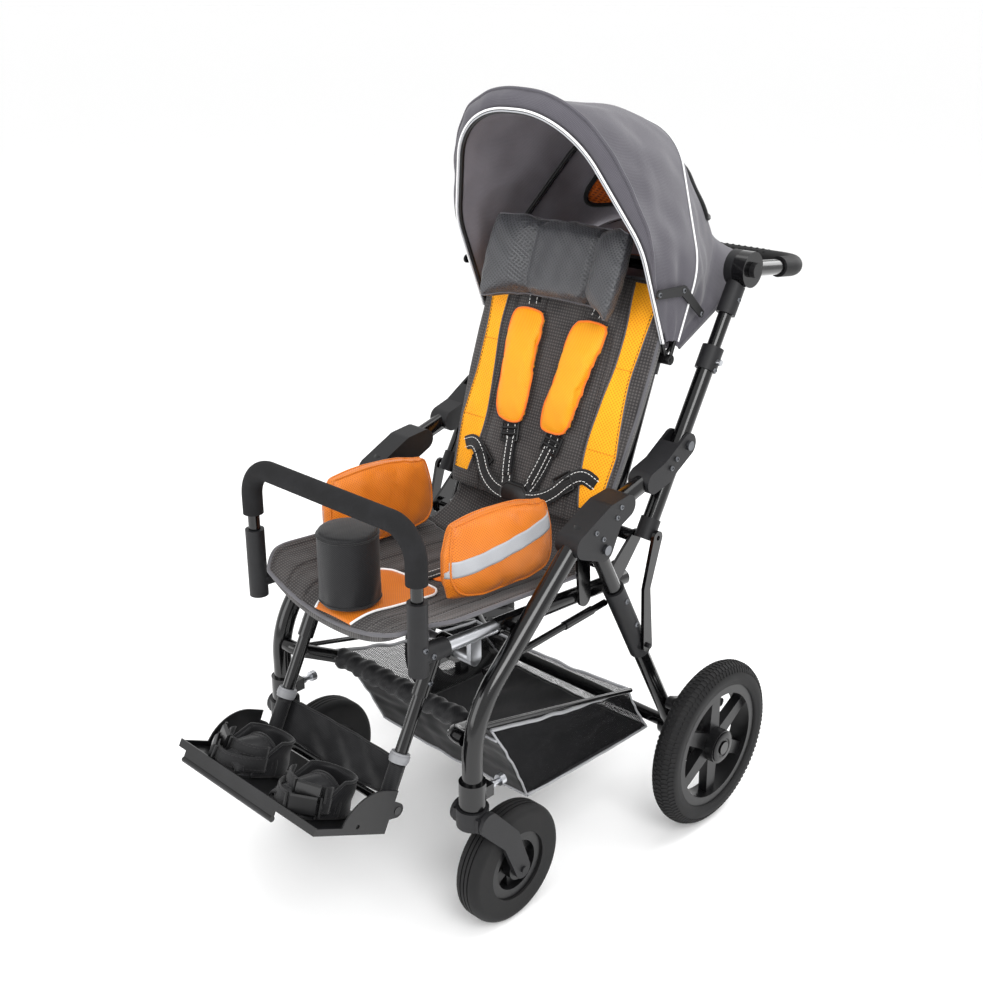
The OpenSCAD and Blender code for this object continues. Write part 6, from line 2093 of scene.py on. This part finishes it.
class FrameFinishes:
    """Gives each shown node of the frame its finish."""

    TABLE: dict[Finish, tuple[str, ...]] = {
        Finish.ENAMEL: ("front_legs", "arm_tubes", "cross_members", "seat_rails", "seat_stays", "rear_legs",
                        "rear_axle", "fold_links", "handle_tubes", "handle_risers", "push_bar", "back_frame",
                        "grab_bar", "foot_hangers", "foot_tubes", "recline_brackets"),
        Finish.SHEET: ("footplate",),
        Finish.NYLON: ("hub_brackets", "arm_joints", "leg_sleeves", "handle_collars", "handle_joints",
                       "front_brackets", "fork_left", "fork_right"),
        Finish.POLY: ("brake_lever_left", "brake_lever_right", "rear_wheel_left", "rear_wheel_right",
                      "hood_clips", "hood_rear_hoop", "hood_mid_hoop", "hood_front_hoop", "hood_stays",
                      "joint_button_left", "joint_button_right", "front_wheel_left", "front_wheel_right"),
        Finish.DULL_STEEL: ("pivot_bolts",),
        Finish.STEEL: ("swivel_lock_left", "swivel_lock_right", "collar_button_left", "collar_button_right"),
        Finish.ALLOY: ("seat_extenders",),
        Finish.TYRE: ("front_tyre_left", "front_tyre_right"),
        Finish.GRIP: ("push_grip",),
        Finish.FOAM: ("grab_foam",),
    }

    def build(self) -> None:
        """Assigns the materials."""
        for finish, names in self.TABLE.items():
            for name in names:
                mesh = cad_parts[name].data
                mesh.materials.clear()
                mesh.materials.append(finish.material())
                LOG.info("%s: %s", name, finish.value.name)


@dataclass
class Studio:
    """Camera at the photograph's angle, white floor and soft light."""

    place: tuple[float, float, float] = (1.2789, -1.5688, 1.3115)
    look: tuple[float, float, float] = (-0.6410, 0.6743, -0.3667)
    lens: float = 46.1
    roll: float = 0.10

    def build(self) -> None:
        """Builds the camera, the floor, the lamps and the world."""
        scene = bpy.context.scene
        data = bpy.data.cameras.new("camera")
        data.lens, data.sensor_width = self.lens, 36.0
        data.clip_start, data.clip_end = 0.05, 400
        camera = linked("camera", data)
        turn = Vector(self.look).to_track_quat("-Z", "Y").to_matrix().to_4x4()
        roll = Matrix.Rotation(math.radians(self.roll), 4, "Z")
        camera.matrix_world = Matrix.Translation(self.place) @ turn @ roll
        scene.camera = camera
        mesh = bpy.data.meshes.new("floor")
        reach = 150
        mesh.from_pydata([(-reach, -reach, 0), (reach, -reach, 0), (reach, reach, 0), (-reach, reach, 0)], [],
                         [(0, 1, 2, 3)])
        floor = linked("floor", mesh)
        material, _, shader = start_material("studio_floor")
        shader.inputs["Base Color"].default_value = linear("FFFFFF")
        shader.inputs["Roughness"].default_value = 0.6
        mesh.materials.append(material)
        world = bpy.data.worlds.new("studio")
        world.use_nodes = True
        world.node_tree.nodes["Background"].inputs[0].default_value = (1, 1, 1, 1)
        world.node_tree.nodes["Background"].inputs[1].default_value = 1.0
        scene.world = world
        scene.view_settings.view_transform = "Standard"
        for name, spot, target, size, power in (
                ("key", (2.4, -1.6, 2.6), (0, -0.2, 0.5), 1.6, 62),
                ("fill", (-0.6, -3.2, 1.4), (0, -0.1, 0.8), 1.8, 34),
                ("top", (0.2, 0.3, 3.2), (0, -0.1, 0.5), 2.6, 40),
                ("rim", (0.6, 2.8, 1.8), (0, 0, 0.6), 1.6, 34)):
            lamp = bpy.data.lights.new(name, "AREA")
            lamp.size, lamp.energy = size, power
            body = linked(name, lamp)
            body.location = spot
            body.rotation_euler = (Vector(target) - Vector(spot)).to_track_quat("-Z", "Y").to_euler()


def main() -> None:
    """Builds every sub-assembly in order."""
    logging.basicConfig(level=logging.INFO, format="%(name)s: %(message)s")
    for part in (Studio(), FrameFinishes(), SeatCloth(), SidePads(), Pommel(), BackCloth(), Harness(),
                 Headrest(), Hood(), Basket(), FootSet(), Tyres(), Hardware()):
        part.build()
        LOG.info("%s done", type(part).__name__)


if __name__ == "__main__":
    main()
